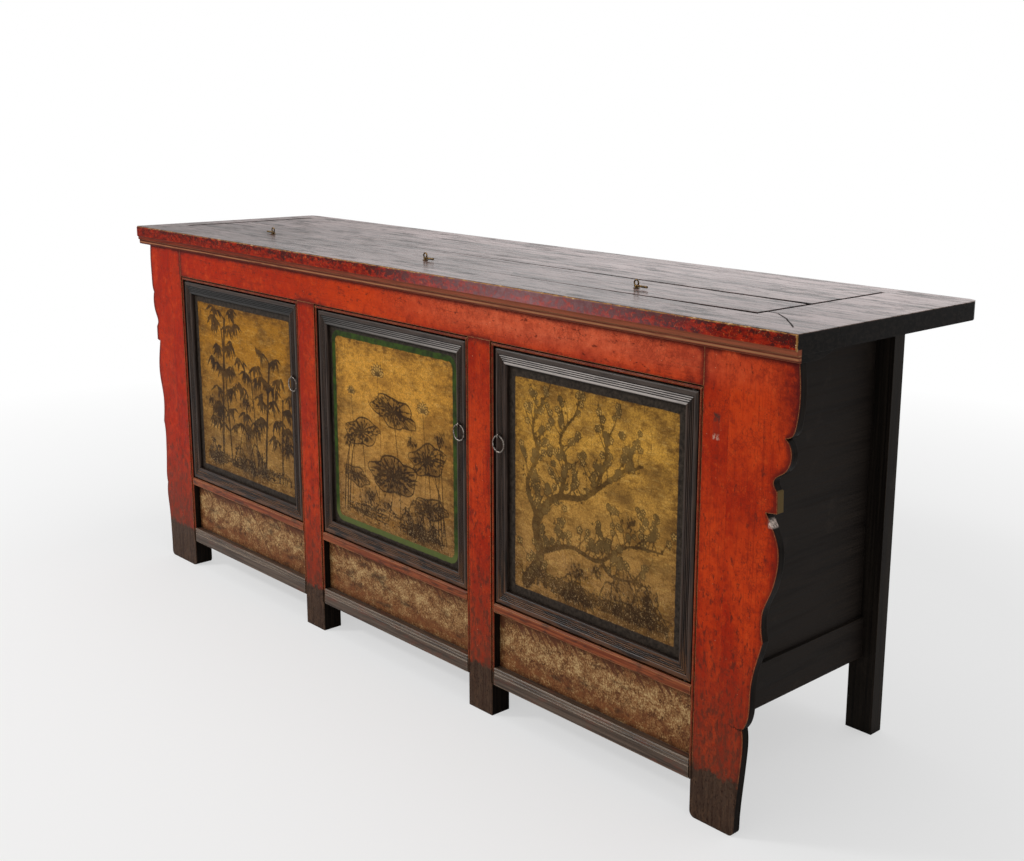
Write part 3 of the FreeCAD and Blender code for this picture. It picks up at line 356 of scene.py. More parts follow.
def red_lacquer(name, grain):
    """The red finish for boards whose grain runs along one axis."""
    red = Finish(name, "#A6280F", 0.04, grain=grain)
    x, z = red.x, red.z

    # the coat itself, uneven from the brush, mottled by age, bright over the doors, and with a pale pinkish
    # painted sheen over the right-hand part of the rail
    red.lay("#C73F15", (red.cloud((170, 60), 3, 5), 0.38, 0.62))
    red.lay("#A81C06", (x, -0.15, -0.75, 0, 0.55))
    mottle = red.cloud(17, 5, 8, 0.72)
    red.lay("#8A2413", (mottle, 0.5, 0.66, 0, 0.75))
    red.lay("#D2501F", (mottle, 0.46, 0.34, 0, 0.45))
    streaks = red.cloud((150, 4), 9, 6, 0.62)
    red.lay("#7A2012", (streaks, 0.54, 0.7, 0, 0.55))
    red.lay("#D64410", red.within(x, -0.3, 0.05, 0.2), (z, *OVER_DOORS), 0.6)
    # painted sheen: pale pink over the right-hand part of the rail above the doors
    red.lay("#E2704C", red.within(x, 0.14, 0.86, 0.2), (z, *OVER_DOORS), (mottle, 0.3, 0.6, 0.85, 0.35))

    # it grows brown and scuffed towards the floor
    low = red.product((z, 0.6, 0.16), 0.075)
    scuffed = red.total(red.cloud((20, 9), 21, 8, 0.74), low)
    red.lay("#642519", (scuffed, 0.575, 0.64, 0, 0.85))
    red.lay("#66392A", (z, 0.36, 0.12), (scuffed, 0.42, 0.62, 0.45, 1), 0.8)

    # specks, scratches, fine cracks and pale chips
    specks = red.cloud((6, 2.6), 33, 4, 0.7)
    red.lay("#371814", (specks, 0.635, 0.675, 0, 0.9))
    red.lay("#541C14", (red.cloud((46, 1.6), 45, 1, warp=1.2), 0.71, 0.75, 0, 0.75))
    red.lay("#6E2417", red.craze(8, 47), (red.cloud(80, 49), 0.45, 0.6), 0.4)
    red.lay("#D2B08C", (red.cloud((2.6, 2.6, 3.6), 39, 1), 0.79, 0.82, 0, 0.85))

    # the rim of each board is dark, purple in the upper corner of the right wing, and a keen
    # line of tan shows on the wings' lobes
    ragged = red.cloud(12, 51, 7, 0.74)
    rim = red.total(red.rim(15), (ragged, 0.3, 0.7, -0.3, 0.3))
    joint = red.calc("ABSOLUTE", red.calc("SUBTRACT", red.calc("ABSOLUTE", x), WING_JOINT))
    red.lay("#561A16", (rim, 0.15, 0.85), (joint, 0.01, 0.02), (z, 0.3, 0.66, 0.45, 1), 0.85)
    red.lay("#4C1416", (x, 1.005, 1.05), (z, 0.69, 0.76), (ragged, 0.38, 0.56, 0.3, 1), 0.75)
    # painted shade: darker in hollows and corners, such as beside the beads
    red.lay("#32140F", red.hollow_shade(12), 0.85)
    red.lay("#B88452", red.arris(1.8), (joint, 0.003, 0.006), (ragged, 0.4, 0.52, 0.15, 1), 0.9)

    # the feet, stained by floors and mops
    foot = red.mix("#2B221B", ("#4A3D32", (streaks, 0.35, 0.62)), ("#5E4636", (scuffed, 0.56, 0.66, 0, 0.6)),
                   ("#1A130F", (specks, 0.56, 0.62, 0, 0.8)))
    edge = red.calc("MULTIPLY_ADD", red.cloud(15, 57, 6), 0.05, z)
    red.lay(foot, (edge, FOOT_STAIN + 0.031, FOOT_STAIN + 0.02), 0.95)

    # an old repair on the right post, and a split from the lowest notch of the right wing
    patch = red.spot(OLD_PATCH, 0.0012)
    patch_low, patch_high = OLD_PATCH[1]
    red.lay("#8A3020", patch, (specks, 0.35, 0.55), 0.6)
    red.lay("#43302A", patch, (z, patch_high - 0.016, patch_high - 0.009), (specks, 0.44, 0.54), 0.85)
    red.lay("#C79A88", patch, (z, patch_low + 0.011, patch_low + 0.006), (specks, 0.46, 0.54), 0.85)
    split = red.calc("MULTIPLY_ADD", ragged, 0.03, z)
    red.lay("#2A1713", red.within(split, *WING_SPLIT, 0.0012), (x, 0.938, 0.955), 0.95)

    # bare wood behind the painted face, with a strip of old putty and a pale chip by a notch
    bare = red.mix("#0E0B09", ("#221B16", (streaks, 0.35, 0.65)), ("#6A5736", red.spot(PUTTY, 0.0005), 0.9))
    red.lay(bare, (red.y, FRONT_PLANE + 1.0 * MM, FRONT_PLANE + 2.2 * MM))
    red.lay("#DCC8BC", red.spot(PALE_CHIP, 0.002), (specks, 0.42, 0.5))
    red.close(streaks, 0.22, 1.2, (red.cloud(40, 63, 5), 0.35, 0.65, 0.24, 0.45))
    return red


upright_red = red_lacquer("red lacquer on upright boards", "Z")
long_red = red_lacquer("red lacquer on rails", "X")
print("Red lacquer is mixed for uprights and for rails")

# %% [markdown]
# ## Black lacquer of the door frames
# The moulded frames are black-brown and keep some gloss, so the rounds catch the light in thin
# lines. Hands and cloths have worn their crests to brown wood, most of all on the lower rails,
# where feet and brooms reach. On the upper rails the outer round is painted lighter grey and the
# reed crests get pale lines. Both are a painted highlight that grows towards the right, and the
# reeds between them are laid nearly black. The mesh has the rounds and reeds, so the depth behind
# the front face is enough to tell a crest from a groove.

# %% Black lacquer
DOOR_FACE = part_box("door_left_top_rail")[0].y
REED_DEPTH = 3.0 * MM
RAIL_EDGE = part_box("door_left_top_rail")[1].z
RAIL_WIDTH = 34 * MM
ROUND_WIDTH = 10.4 * MM


def black_lacquer(name, grain):
    """The finish of a frame member whose grain runs along one axis."""
    black = Finish(name, "#15100D", 0.18, grain=grain)
    streaks = black.cloud((90, 3), 4, 6, 0.65)
    black.lay("#392B24" if grain == "X" else "#483B34", (streaks, 0.38, 0.62))
    wear = black.cloud((60, 7), 8, 6, 0.68)
    crest = black.share(black.y, DOOR_FACE + REED_DEPTH * 0.62, DOOR_FACE + REED_DEPTH * 0.36)
    low = black.share(black.z, 0.34, 0.265, 0.15, 1.0)
    black.lay("#6A4226", crest, low, (wear, 0.44, 0.56), 0.8)
    black.lay("#3C332D", crest, (wear, 0.54, 0.64), 0.6)
    black.lay("#9A6C40", black.arris(1.2), (wear, 0.42, 0.58), low, 0.7)
    # painted shade: near black in the grooves between the reeds and in corners
    black.lay("#040302", black.hollow_shade(6), 0.92)
    if grain == "X":
        # upper rails: painted highlight, lighter grey on the outer round and pale lines on the reed crests,
        # growing towards the right, over reeds laid nearly black
        upper = black.share(black.z, RAIL_EDGE - RAIL_WIDTH, RAIL_EDGE - RAIL_WIDTH + 4 * MM)
        reeds = black.share(black.z, RAIL_EDGE - ROUND_WIDTH, RAIL_EDGE - ROUND_WIDTH - 0.6 * MM)
        painted_highlight = black.product(upper, (black.x, -0.3, 0.5, 0.03, 1))
        black.lay("#4A403A", painted_highlight, (wear, 0.36, 0.6, 0.3, 0.9))
        black.lay("#060403", upper, reeds)
        black.lay("#BDB3AD", painted_highlight, reeds, crest, (wear, 0.38, 0.54, 0.6, 0.95))
    black.close(streaks, 0.02, 1.2, (wear, 0.35, 0.65, 0.3, 0.38))
    return black


upright_black = black_lacquer("black lacquer on stiles", "Z")
long_black = black_lacquer("black lacquer on door rails", "X")
print("Black lacquer is mixed for stiles and for rails")

# %% [markdown]
# ## The dark top
# The planks of the top are lacquered nearly black and rubbed smooth. They look grey from a low
# angle, because they mirror the room, and that grey is also painted into their colour as a painted
# sheen, lighter towards the right-hand end and the back and in pale patches. Dark blots are
# duller than the rest, and a split runs from the end of a joint to the right-hand front corner.
# It could be cut into the board, but the CAD mesh stays as it is, so a dark line stands for it.

# %% Top
TOP_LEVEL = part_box("top_front_board")[1].z
BAND_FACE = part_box("top_front_board")[0].y
BAND_LOW = TOP_LEVEL - 25 * MM
STRIP_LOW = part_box("top_front_moulding")[0].z
END_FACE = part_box("top_end_board_right")[1].x
CORNER_SPLIT = ((0.889, -0.126), (0.918, -0.131), (0.962, -0.165), (1.018, -0.222))

top = Finish("dark lacquer on planks", "#54403C", 0.07)
x, y, z = top.x, top.y, top.z
# painted sheen: lighter grey-mauve towards the right-hand end and the back, in broad clouds
broad = top.cloud((300, 120), 8)
painted_sheen = top.total((x, -1, 1, 0, 0.55), (y, -0.1, 0.25, 0, 0.55), (broad, 0.35, 0.65, -0.2, 0.2))
top.lay("#B49E9C", painted_sheen)
veins = top.cloud((200, 13), 2, 8, 0.72)
top.lay("#22120F", (veins, 0.48, 0.6, 0, 0.82))
blots = top.cloud((120, 22), 12, 8, 0.76)
top.lay("#1C1310", (blots, 0.52, 0.6, 0, 0.8))
top.lay("#0E0908", (top.cloud((60, 20), 16, 7, 0.76), 0.575, 0.64, 0, 0.8))
# pale mauve patches, also painted sheen
top.lay("#A08880", (top.cloud((50, 22), 14, 8, 0.78), 0.55, 0.66, 0, 0.45))
top.lay("#060404", (top.cloud((220, 7), 18, 2, 0.5, 0.8), 0.71, 0.73))

# the corner's split, one straight reach after the other
dull = top.share(blots, 0.48, 0.68, 0, 0.14)
for (start_x, start_y), (end_x, end_y) in zip(CORNER_SPLIT, CORNER_SPLIT[1:]):
    slope = (end_y - start_y) / (end_x - start_x)
    off = top.calc("MULTIPLY_ADD", x, -slope, slope * start_x - start_y)
    off = top.total(off, y, (blots, 0, 1, -0.004, 0.004))
    split = top.product(top.within(off, -0.0022, 0.0022, 0.0008), top.within(x, start_x, end_x, 0.002))
    top.lay("#0A0504", split)
    dull = top.total(dull, top.product(split, 0.5))
# painted shade: darker in the joints, slots and corners of the top
top.lay("#060404", top.hollow_shade(9), 0.95)

# the edges of the slab, nearly black, with a worn arris at the right-hand end
edge_on = top.share(z, TOP_LEVEL - 0.4 * MM, TOP_LEVEL - 1.4 * MM)
top.lay(top.coat("#0B0908", "#1E1916", (top.cloud((9, 9, 5), 20, 7, 0.75), 0.46, 0.6)), edge_on)
at_end, at_arris = (x, END_FACE - 8 * MM, END_FACE - 4 * MM), (z, TOP_LEVEL - 5 * MM, TOP_LEVEL - 3 * MM)
top.lay("#6E5334", top.arris(1.8), at_end, (blots, 0.4, 0.52), at_arris, 0.9)
print("The planks of the top are mixed")

# %% [markdown]
# ### The front of the top
# The front band under the arris is red lacquer under a purple-brown skin, flaked off in patches
# and specks, and its upper arris is worn to pale wood. A pale pinkish painted sheen lies over
# part of the band towards the right. A small bead and a moulded strip below it are rubbed to tan
# on their rounds, and dark lines of painted shade mark their grooves. The front board has the dark
# lacquer and the band on one mesh, so one finish does both, and height and depth tell its parts
# apart.

# %% Band and strip
# height over the strip's foot and half width in millimetres, and tone, of each fine line; the tan lines are
# rubbed crests, the dark lines painted shade of grooves
STRIP_LINES = ((11.2, 0.9, "#A87A54"), (8.6, 0.8, "#2A110C"), (5.6, 1.2, "#A87A54"), (2.0, 1.0, "#2A110C"))

flaked = top.cloud((15, 20, 11), 24, 9, 0.78)
skin = top.total(flaked, (z, BAND_LOW, TOP_LEVEL, -0.045, 0.06), (x, -0.4, 0.6, -0.035, 0.03),
                 (x, 0.66, 0.84, 0, -0.035), (top.cloud((120, 60), 29), 0.35, 0.65, -0.05, 0.05))
band = top.mix(
    "#6A0D04", ("#A62509", (top.cloud((26, 20, 9), 28, 6, 0.7), 0.4, 0.6)),
    ("#DC6426", (top.cloud((6, 9), 34, 6, 0.75), 0.56, 0.68, 0, 0.7)),
    ("#35100F", (skin, 0.49, 0.52, 0, 0.88)),
    ("#4C0C06", (x, -0.2, -0.95), (flaked, 0.36, 0.6), 0.6),
    # a pale pinkish painted sheen over part of the band towards the right
    ("#BC9094", top.within(x, 0.22, 0.66, 0.25), (flaked, 0.36, 0.62, 0.4, 1), 0.62),
    ("#C89468", (top.cloud((2.4, 2.4, 3.4), 38, 3, 0.7), 0.64, 0.69, 0, 0.8)))
top.lay(band, (y, BAND_FACE + 2.4 * MM, BAND_FACE + 1.2 * MM), edge_on)

# the bead and the strip below the band
streaks = top.cloud((70, 3), 52, 6, 0.68)
bead = top.mix("#551A0F", ("#87361F", (streaks, 0.36, 0.64)), ("#AC6A4C", (x, -0.5, 0.35, 0, 0.42)))
for level, half, tone in STRIP_LINES:
    line = top.within(z, STRIP_LOW + (level - half) * MM, STRIP_LOW + (level + half) * MM, 0.4 * MM)
    bead = top.coat(bead, tone, line, (streaks, 0.34, 0.5), 0.8)
# painted shade: the bead and strip darker in their hollows
bead = top.coat(bead, "#1E0B08", top.hollow_shade(7), 0.95)
top.lay(bead, (y, BAND_FACE + 14 * MM, BAND_FACE + 12 * MM), (z, BAND_LOW + 0.6 * MM, BAND_LOW - 0.4 * MM))

# the worn upper arris and right-hand corner, tan with broken pale lights
worn = top.cloud((16, 6), 40, 7, 0.74)
behind = top.calc("SUBTRACT", y, BAND_FACE)
for inward in (top.calc("SUBTRACT", TOP_LEVEL, z), top.calc("SUBTRACT", END_FACE, x)):
    off = top.total(top.calc("MAXIMUM", inward, behind), (worn, 0.34, 0.62, 0.0014, -0.0006))
    arris = top.product((off, 2.8 * MM, 2.0 * MM), (x, -0.9, 0.2, 0.65, 1))
    top.lay("#A5763E", arris, 0.92)
    top.lay("#DEC4A0", arris, (worn, 0.58, 0.64), 0.85)
top.close(veins, 0.2, 1.5, top.total((x, -1, 0.6, 0.32, 0.17), dull, top.product(edge_on, 0.25)))
print("The top's finish is mixed")

# %% [markdown]
# ## Painted aprons
# The low panels under the doors once had a painted ground too. It has flaked to small scales of
# light tan on brown, thickest in a band above the middle. Dark drips slant down from the upper
# edge, and the lower third is bare warm brown. The scales are too many to model. A fine and a
# coarse random field, added up, give them their ragged shapes and their thick and thin places.

# %% Aprons
apron = Finish("flaked paint on aprons", "#462818", 0.1, 0.55)
z = apron.z
grime = apron.cloud((80, 60, 30), 11, 6, 0.65)
apron.lay("#80502F", (apron.cloud((12, 12, 16), 5, 8, 0.75), 0.4, 0.6))
apron.lay("#86502E", apron.within(z, 0.11, 0.136, 0.01), (grime, 0.35, 0.6, 0.2, 0.75))
flakes = apron.cloud((3.6, 3.6, 4.2), 17, 7, 0.76, 0.3)
thick = apron.total(flakes, apron.product(apron.within(z, 0.146, 0.2, 0.016), 0.1),
                    (apron.cloud((28, 28, 20), 19, 7, 0.72), 0.36, 0.64, -0.1, 0.1))
apron.lay("#9A7046", (thick, 0.5, 0.57, 0, 0.85))
apron.lay("#CBAA76", (thick, 0.61, 0.7, 0, 0.9))
apron.lay("#23150C", (apron.cloud((2.8, 2.8, 3.6), 23, 6, 0.76, 0.3), 0.56, 0.63, 0, 0.8))

# the drips lie on a slanted coordinate, at another place on each apron
slant = apron.calc("MULTIPLY_ADD", z, 0.9, apron.x)
slant = apron.add("CombineXYZ", {0: slant, 1: apron.own}).outputs[0]
drips = apron.add("TexNoise", {"Vector": slant, "Scale": 75.0, "Detail": 3.0}).outputs[0]
apron.lay("#5C3421", (apron.total(drips, (z, 0.185, 0.222, -0.14, 0.12)), 0.5, 0.56, 0, 0.85))
apron.lay("#33241A", (grime, 0.56, 0.66), 0.7)
# painted shade: darker in the corners of the apron's recess
apron.lay("#1C110C", apron.hollow_shade(12), 0.65)
apron.close(flakes, 0.5)
print("The aprons' finish is mixed")

# %% [markdown]
# ## Worn dark rails
# The lowest rails are dark grey-brown with hardly any red left, and their two beads are rubbed
# pale. The sills under the doors still show some red, with a tan line along the upper arris.
# They are narrow and lie low, so four coats are enough for each.

# %% Rails
rail = Finish("worn dark lacquer", "#392B21", 0.3, 0.42)
streaks = rail.cloud((160, 4), 6, 5)
rail.lay("#625144", (streaks, 0.36, 0.64))
rail.lay("#6A3A28", (rail.cloud((50, 14), 13, 5), 0.54, 0.68, 0, 0.6))
rail.lay("#B09880", rail.arris(2.2), (streaks, 0.38, 0.54), 0.9)
# painted shade: darker in the grooves and corners of the rail
rail.lay("#120C09", rail.hollow_shade(9), 0.9)
rail.close(streaks, 0.3, 1.0)

sill = Finish("red brown lacquer on sills", "#662C18", 0.12, 0.42)
streaks = sill.cloud((150, 4), 6, 5)
sill.lay("#96502E", (streaks, 0.36, 0.64))
sill.lay("#3E261C", (sill.cloud((40, 10), 13, 5), 0.52, 0.64, 0, 0.8))
sill.lay("#C08A58", sill.arris(2.2), (streaks, 0.36, 0.5), 0.9)
# painted shade: darker in the grooves and corners of the sill
sill.lay("#160C08", sill.hollow_shade(8), 0.85)
sill.close(streaks, 0.3, 1.0)
print("The finishes of the sills and the lowest rails are mixed")

# %% [markdown]
# ## Bare dark wood
# The sides, the back and the inside never had a bright coat. Smoke, oil and dust have made
# them nearly black and quite dull. The planks of the sides lie with their grain from front to
# back, the posts stand, and the rails of the back run along. Only the grain and two tones
# differ, so one function makes all four finishes.

# %% Dark wood
def dark_wood(name, grain, ground, light):
    """Dry, dark wood whose grain runs along one axis."""
    wood = Finish(name, ground, 0.12, grain=grain)
    streaks = wood.cloud((260, 4), 7, 6, 0.66, 0.3)
    wood.lay(light, (streaks, 0.36, 0.66))
    wood.lay("#110C0A", (wood.cloud((500, 26), 14, 3, warp=0.5), 0.52, 0.66, 0, 0.6))
    dust = wood.cloud(90, 20, 6, 0.7)
    wood.lay("#403730", (dust, 0.58, 0.72, 0, 0.35))
    wood.lay("#5E4C3A", wood.arris(1.8), (dust, 0.42, 0.58), 0.45)
    # painted shade: darker in corners and joints
    wood.lay("#070504", wood.hollow_shade(30), 0.7)
    wood.close(streaks, 0.5, 1.2, (streaks, 0.35, 0.65, 0.5, 0.72))
    return wood


side_wood = dark_wood("dark bare planks of the sides", "Y", "#1A1512", "#2A231E")
post_wood = dark_wood("dark bare posts", "Z", "#15110E", "#2E2721")
back_wood = dark_wood("dark bare wood of the back", "X", "#241C17", "#3C3129")
inside_wood = dark_wood("dusty boards inside", "X", "#463728", "#6A543E")
print("Dark wood is mixed for the sides, the posts, the back and the inside")

# %% [markdown]
# ## Iron and bronze
# The ring pulls and their staples are forged iron, brown-black with a little sheen where they
# are handled. The lock pins in the top are cast bronze gone dark and greenish. A metal shows
# what it mirrors, so little is laid over it: two tones, and a roughness that varies.

# %% Metals
iron = Finish("forged iron", "#453F3B", metallic=1.0)
scale = iron.cloud(2.5, 3)
iron.lay("#A89F96", (scale, 0.4, 0.62))
iron.lay("#4A2E20", (iron.cloud(5, 9, 3), 0.56, 0.66, 0, 0.7))
iron.close(scale, 0.1, roughness=(scale, 0.35, 0.65, 0.24, 0.42))

bronze = Finish("cast bronze with dark patina", "#4E3C22", metallic=1.0)
scale = bronze.cloud(3, 3)
bronze.lay("#8A6C3E", (scale, 0.42, 0.62))
bronze.lay("#26221A", (bronze.cloud(4, 9, 3), 0.48, 0.58, 0, 0.85))
bronze.close(scale, 0.12, roughness=(scale, 0.35, 0.65, 0.3, 0.5))
print("Iron and bronze are mixed")

# %% [markdown]
# ## The pictures on the doors
# Each door holds a board with a gold ground and a picture in dark ink. Thin meshes would stand
# off the ground, and paint has no thickness, so a picture is made in the way of a brush: a
# stroke is a smooth line whose width swells and thins, and it adds ink where it passes. The
# strokes fall on a grid of millimetres, and the vertices of the board's face pick the ink up
# from it. The material then breaks it up as dry ink does on an old ground. The three pictures
# are common garden subjects: bamboo, lotus and flowering plum.

# %% A brush
LAYERS = ("ink", "wash", "pale")
STEP = 1.2


class Page:
    """Grids, one cell to the millimetre, of how much ink, wash and pale paint lie on a board."""

    def __init__(self, width, height, seed):
        self.across, self.up = np.meshgrid(np.arange(int(width) + 2), np.arange(int(height) + 2))
        self.layers = {name: np.zeros(self.across.shape) for name in LAYERS}
        self.random = np.random.default_rng(seed)
        self.draw = self.random.uniform

    def brush(self, points, widths, dark, layer="ink", soft=0.9):
        """One stroke through the points, whose width runs through the given ones."""
        path = smooth_line(points)
        radius = np.interp(np.linspace(0, 1, len(path)), np.linspace(0, 1, len(widths)), widths) / 2
        margin = radius.max() + soft * 2 + 1
        low = np.maximum(np.floor(path.min(0) - margin), 0).astype(int)
        high = np.ceil(path.max(0) + margin).astype(int) + 1
        window = (slice(low[1], high[1]), slice(low[0], high[0]))
        across, up = self.across[window], self.up[window]
        if not across.size:
            return
        gap = np.full(across.shape, np.inf)
        for (u, v), r in zip(path, radius):
            gap = np.minimum(gap, np.hypot(across - u, up - v) - r)
        cover = np.clip(0.5 - gap / (2 * soft), 0, 1) * dark
        target = self.layers[layer][window]
        target[:] = 1 - (1 - target) * (1 - cover)

    def about(self, value, spread):
        """A value that is off by a random share."""
        return value * (1 + self.draw(-spread, spread))


def smooth_line(points):
    """Points about a millimetre apart on a smooth line through the given ones."""
    points = np.array(points, float)
    if len(points) == 2:
        count = max(3, int(np.hypot(*(points[1] - points[0])) / STEP))
        return points[0] + (points[1] - points[0]) * np.linspace(0, 1, count)[:, None]
    padded = np.vstack([2 * points[0] - points[1], points, 2 * points[-1] - points[-2]])
    pieces = []
    for before, start, end, after in zip(padded, padded[1:], padded[2:], padded[3:]):
        count = max(3, int(np.hypot(*(end - start)) / STEP))
        t = np.linspace(0, 1, count, endpoint=False)[:, None]
        squared = (2 * before - 5 * start + 4 * end - after) * t ** 2
        cubed = (3 * start - before - 3 * end + after) * t ** 3
        pieces.append(0.5 * (2 * start + (end - before) * t + squared + cubed))
    return np.vstack(pieces + [points[-1:]])


def toward(angle, reach):
    """The step across and up that goes a distance at an angle."""
    return np.array((math.cos(angle), math.sin(angle))) * reach


print("A brush paints", len(LAYERS), "layers")

# %% [markdown]
# ### Grass and moss
# Tufts and dots fill the foot of each picture, as they do on such doors. They are random strokes
# about a place, so that no two are alike, and a page's seed keeps them the same in every run.

# %% Grass and moss
def grass(page, u, v, height, count):
    """A tuft of thin arched blades."""
    for _ in range(count):
        lean, tall, foot = page.draw(-0.9, 0.9), page.about(height, 0.4), u + page.draw(-4, 4)
        end = (foot + lean * tall, v + tall * page.draw(0.75, 1.0))
        blade = [(foot, v), (foot + lean * tall * 0.3, v + tall * 0.6), end]
        page.brush(blade, [1.6, 1.1, 0.4], page.draw(0.5, 0.9))


def moss(page, u, v, spread, count, size, dark):
    """A loose cluster of round dots."""
    for _ in range(count):
        dot = (u, v) + page.random.normal(0, spread, 2) * (1, 0.6)
        page.brush([dot, dot + (0.8, 0.3)], [page.about(size, 0.5)], page.draw(dark - 0.3, dark))


print("Grass and moss can be painted")

# %% [markdown]
# ### Garden stones
# A heap has cleft stones, the lowest in front. An outline alone would look like a hill, so pale
# and dark washes round each stone, and short slanting strokes show its clefts.

# %% Garden stones
THIN = (0.6, 2.2, 0.6)
# height, left end and right end of each stone of a heap, and the outline of a stone, as shares
STONES = ((1, 0.18, 0.62), (0.8, 0.48, 0.86), (0.62, 0.02, 0.4), (0.45, 0.66, 1), (0.34, 0.24, 0.66))
STONE_ACROSS = np.array((0, 0.06, 0.22, 0.38, 0.6, 0.78, 0.94, 1))
STONE_UP = np.array((0, 0.52, 0.8, 1, 0.9, 0.66, 0.38, 0))


def rock(page, left, right, foot, top):
    """A heap of cleft garden stones, from the tallest behind to the lowest in front."""
    for tall, low_share, high_share in STONES:
        start, end = left + (right - left) * low_share, left + (right - left) * high_share
        half, middle = (end - start) / 2, (start + end) / 2
        peak = foot + (top - foot) * page.about(tall, 0.1)
        heights = STONE_UP + page.draw(-0.07, 0.07, len(STONE_UP))
        upward = foot + (peak - foot) * heights.clip(0, 1)
        line = np.stack([start + (end - start) * STONE_ACROSS, upward], -1)

        # a pale wash over the stone, a darker one on its right, then the outline and the clefts
        stroke = [(middle, foot + 4), (middle, peak - half * 0.7)]
        page.brush(stroke, [half * 1.7, half * 0.9], 0.3, "wash", 5)
        stroke = [(end - half * 0.5, foot + 4), (end - half * 0.8, peak - half * 0.8)]
        page.brush(stroke, [half * 0.8, half * 0.3], 0.55, "wash", 5)
        for before, after in zip(line, line[1:]):
            middle = (before + after) / 2 + page.random.normal(0, 1.5, 2)
            page.brush([before, middle, after], [1.4, page.draw(2.4, 4.6), 1.2], 0.9)
        for _ in range(int(half * 1.3)):
            share = page.draw(0.12, 0.95)
            up = np.interp(share, STONE_ACROSS, heights) * (peak - foot) * page.draw(0.15, 0.95)
            at = np.array((start + (end - start) * share, foot + up))
            long, slip = page.draw(6, 18), page.draw(0.15, 0.55)
            stroke = [at, at + (long * slip, -long * 0.55), at + (long * slip * 1.1, -long)]
            page.brush(stroke, THIN, page.draw(0.3, 0.75))
        moss(page, *line[page.random.integers(2, 6)], half * 0.3, 22, 2.8, 0.95)


print("A heap has", len(STONES), "stones")

# %% [markdown]
# ### Earth, haze and bushes
# Flat broken strokes make earth or water, and pale washes stand for far growth. A bush is a
# wash with many small leaves over it, because leaves alone leave it thin.

# %% Earth, haze and bushes
HAZE_SIZE, HAZE_DARK = 46, 0.3
BUSH_DARK = 0.9


def ground(page, left, right, level, rows):
    """Flat broken strokes and dots, as earth or still water."""
    for _ in range(rows):
        u, v, long = page.draw(left, right - 30), level + page.draw(-14, 16), page.draw(14, 60)
        stroke = [(u, v), (u + long * 0.5, v + page.draw(-3, 3)), (u + long, v)]
        page.brush(stroke, THIN, page.draw(0.3, 0.8))
        if page.random.random() < 0.5:
            moss(page, u, v, 8, 9, 2.2, 0.85)


def haze(page, left, right, low, high, count):
    """Overlapping pale washes that stand for far growth and damp air."""
    for _ in range(count):
        u, v = page.draw(left, right), page.draw(low, high)
        end = (u + HAZE_SIZE * page.draw(0.6, 1.5), v + page.draw(-8, 8))
        widths = [HAZE_SIZE * 0.5, HAZE_SIZE * 0.35]
        page.brush([(u, v), end], widths, page.about(HAZE_DARK, 0.5), "wash", 9)


def bush(page, u, v, wide, tall):
    """A rounded mass of small leaves over a wash, densest low down and to the right."""
    stroke = [(u - wide * 0.3, v), (u + wide * 0.3, v + tall * 0.1)]
    page.brush(stroke, [tall * 1.3, tall * 1.1], BUSH_DARK * 0.55, "wash", 7)
    for _ in range(int(wide * tall / 16)):
        du, dv = page.random.normal(0, 0.42, 2)
        if du * du + dv * dv > 1.1:
            continue
        at = (u + du * wide, v + dv * tall)
        tip = at + toward(page.draw(-2.4, -0.7), page.draw(4, 9))
        dark = BUSH_DARK * (0.75 + 0.25 * du - 0.25 * dv) * page.draw(0.6, 1.1)
        page.brush([at, tip], [3.4, 1.2], min(max(dark, 0.2), 0.98))


print("Haze is about", HAZE_SIZE, "mm wide")

# %% [markdown]
# ### Bamboo
# Jointed stems lean a little and carry thin twigs. Leaves hang from these in threes to fives,
# dark in front and pale behind. A stem is painted joint by joint, as a painter would do it,
# because the short dark rings between the strokes are what tells bamboo from reed.

# %% Bamboo
# across at the foot and at the top, up at the top, width and darkness of each stem
STEMS = ((118, 150, 412, 9, 0.78), (160, 132, 392, 6, 0.62), (318, 350, 330, 8, 0.74),
         (285, 262, 300, 5, 0.55), (392, 404, 250, 6, 0.6))
STEM_FOOT = 46.0
# the first length between two joints, what each one adds, and how many add to it
FIRST_JOINT, JOINT_GROWTH, GROWING_JOINTS = 22, 6.5, 5


def bamboo(page):
    """Stems with their twigs, and growth and stones at their feet."""
    for foot_u, top_u, top_v, width, dark in STEMS:
        v, joint = STEM_FOOT, 0
        while v < top_v - 12:
            end = min(v + FIRST_JOINT + JOINT_GROWTH * min(joint, GROWING_JOINTS), top_v)
            risen = [(level - STEM_FOOT) / (top_v - STEM_FOOT) for level in (v + 1.2, end - 1.2)]
            at, to = (foot_u + (top_u - foot_u) * share ** 1.3 for share in risen)
            page.brush([(at, v + 1.2), (to, end - 1.2)], [width, width * 0.84, width], dark)
            ring = [(to - width * 0.6, end), (to, end + 1.0), (to + width * 0.6, end)]
            page.brush(ring, [1.4, 1.0, 1.4], 0.9)
            for side in (-1, 1) if joint > 1 else ():
                if page.random.random() < 0.8:
                    twig(page, to, end, side, page.draw(26, 62), dark + 0.3)
            v, joint = end, joint + 1
    haze(page, 60, 380, 70, 360, 26)
    for place in ((70, 196, 34, 26), (108, 170, 28, 20), (410, 150, 30, 30), (236, 216, 36, 22)):
        bush(page, *place)
    rock(page, 168, 330, 40, 150)
    rock(page, 44, 120, 40, 92)
    ground(page, 40, 430, 56, 80)
    for u in range(50, 425, 22):
        grass(page, u + page.draw(-8, 8), 44, 24, 6)


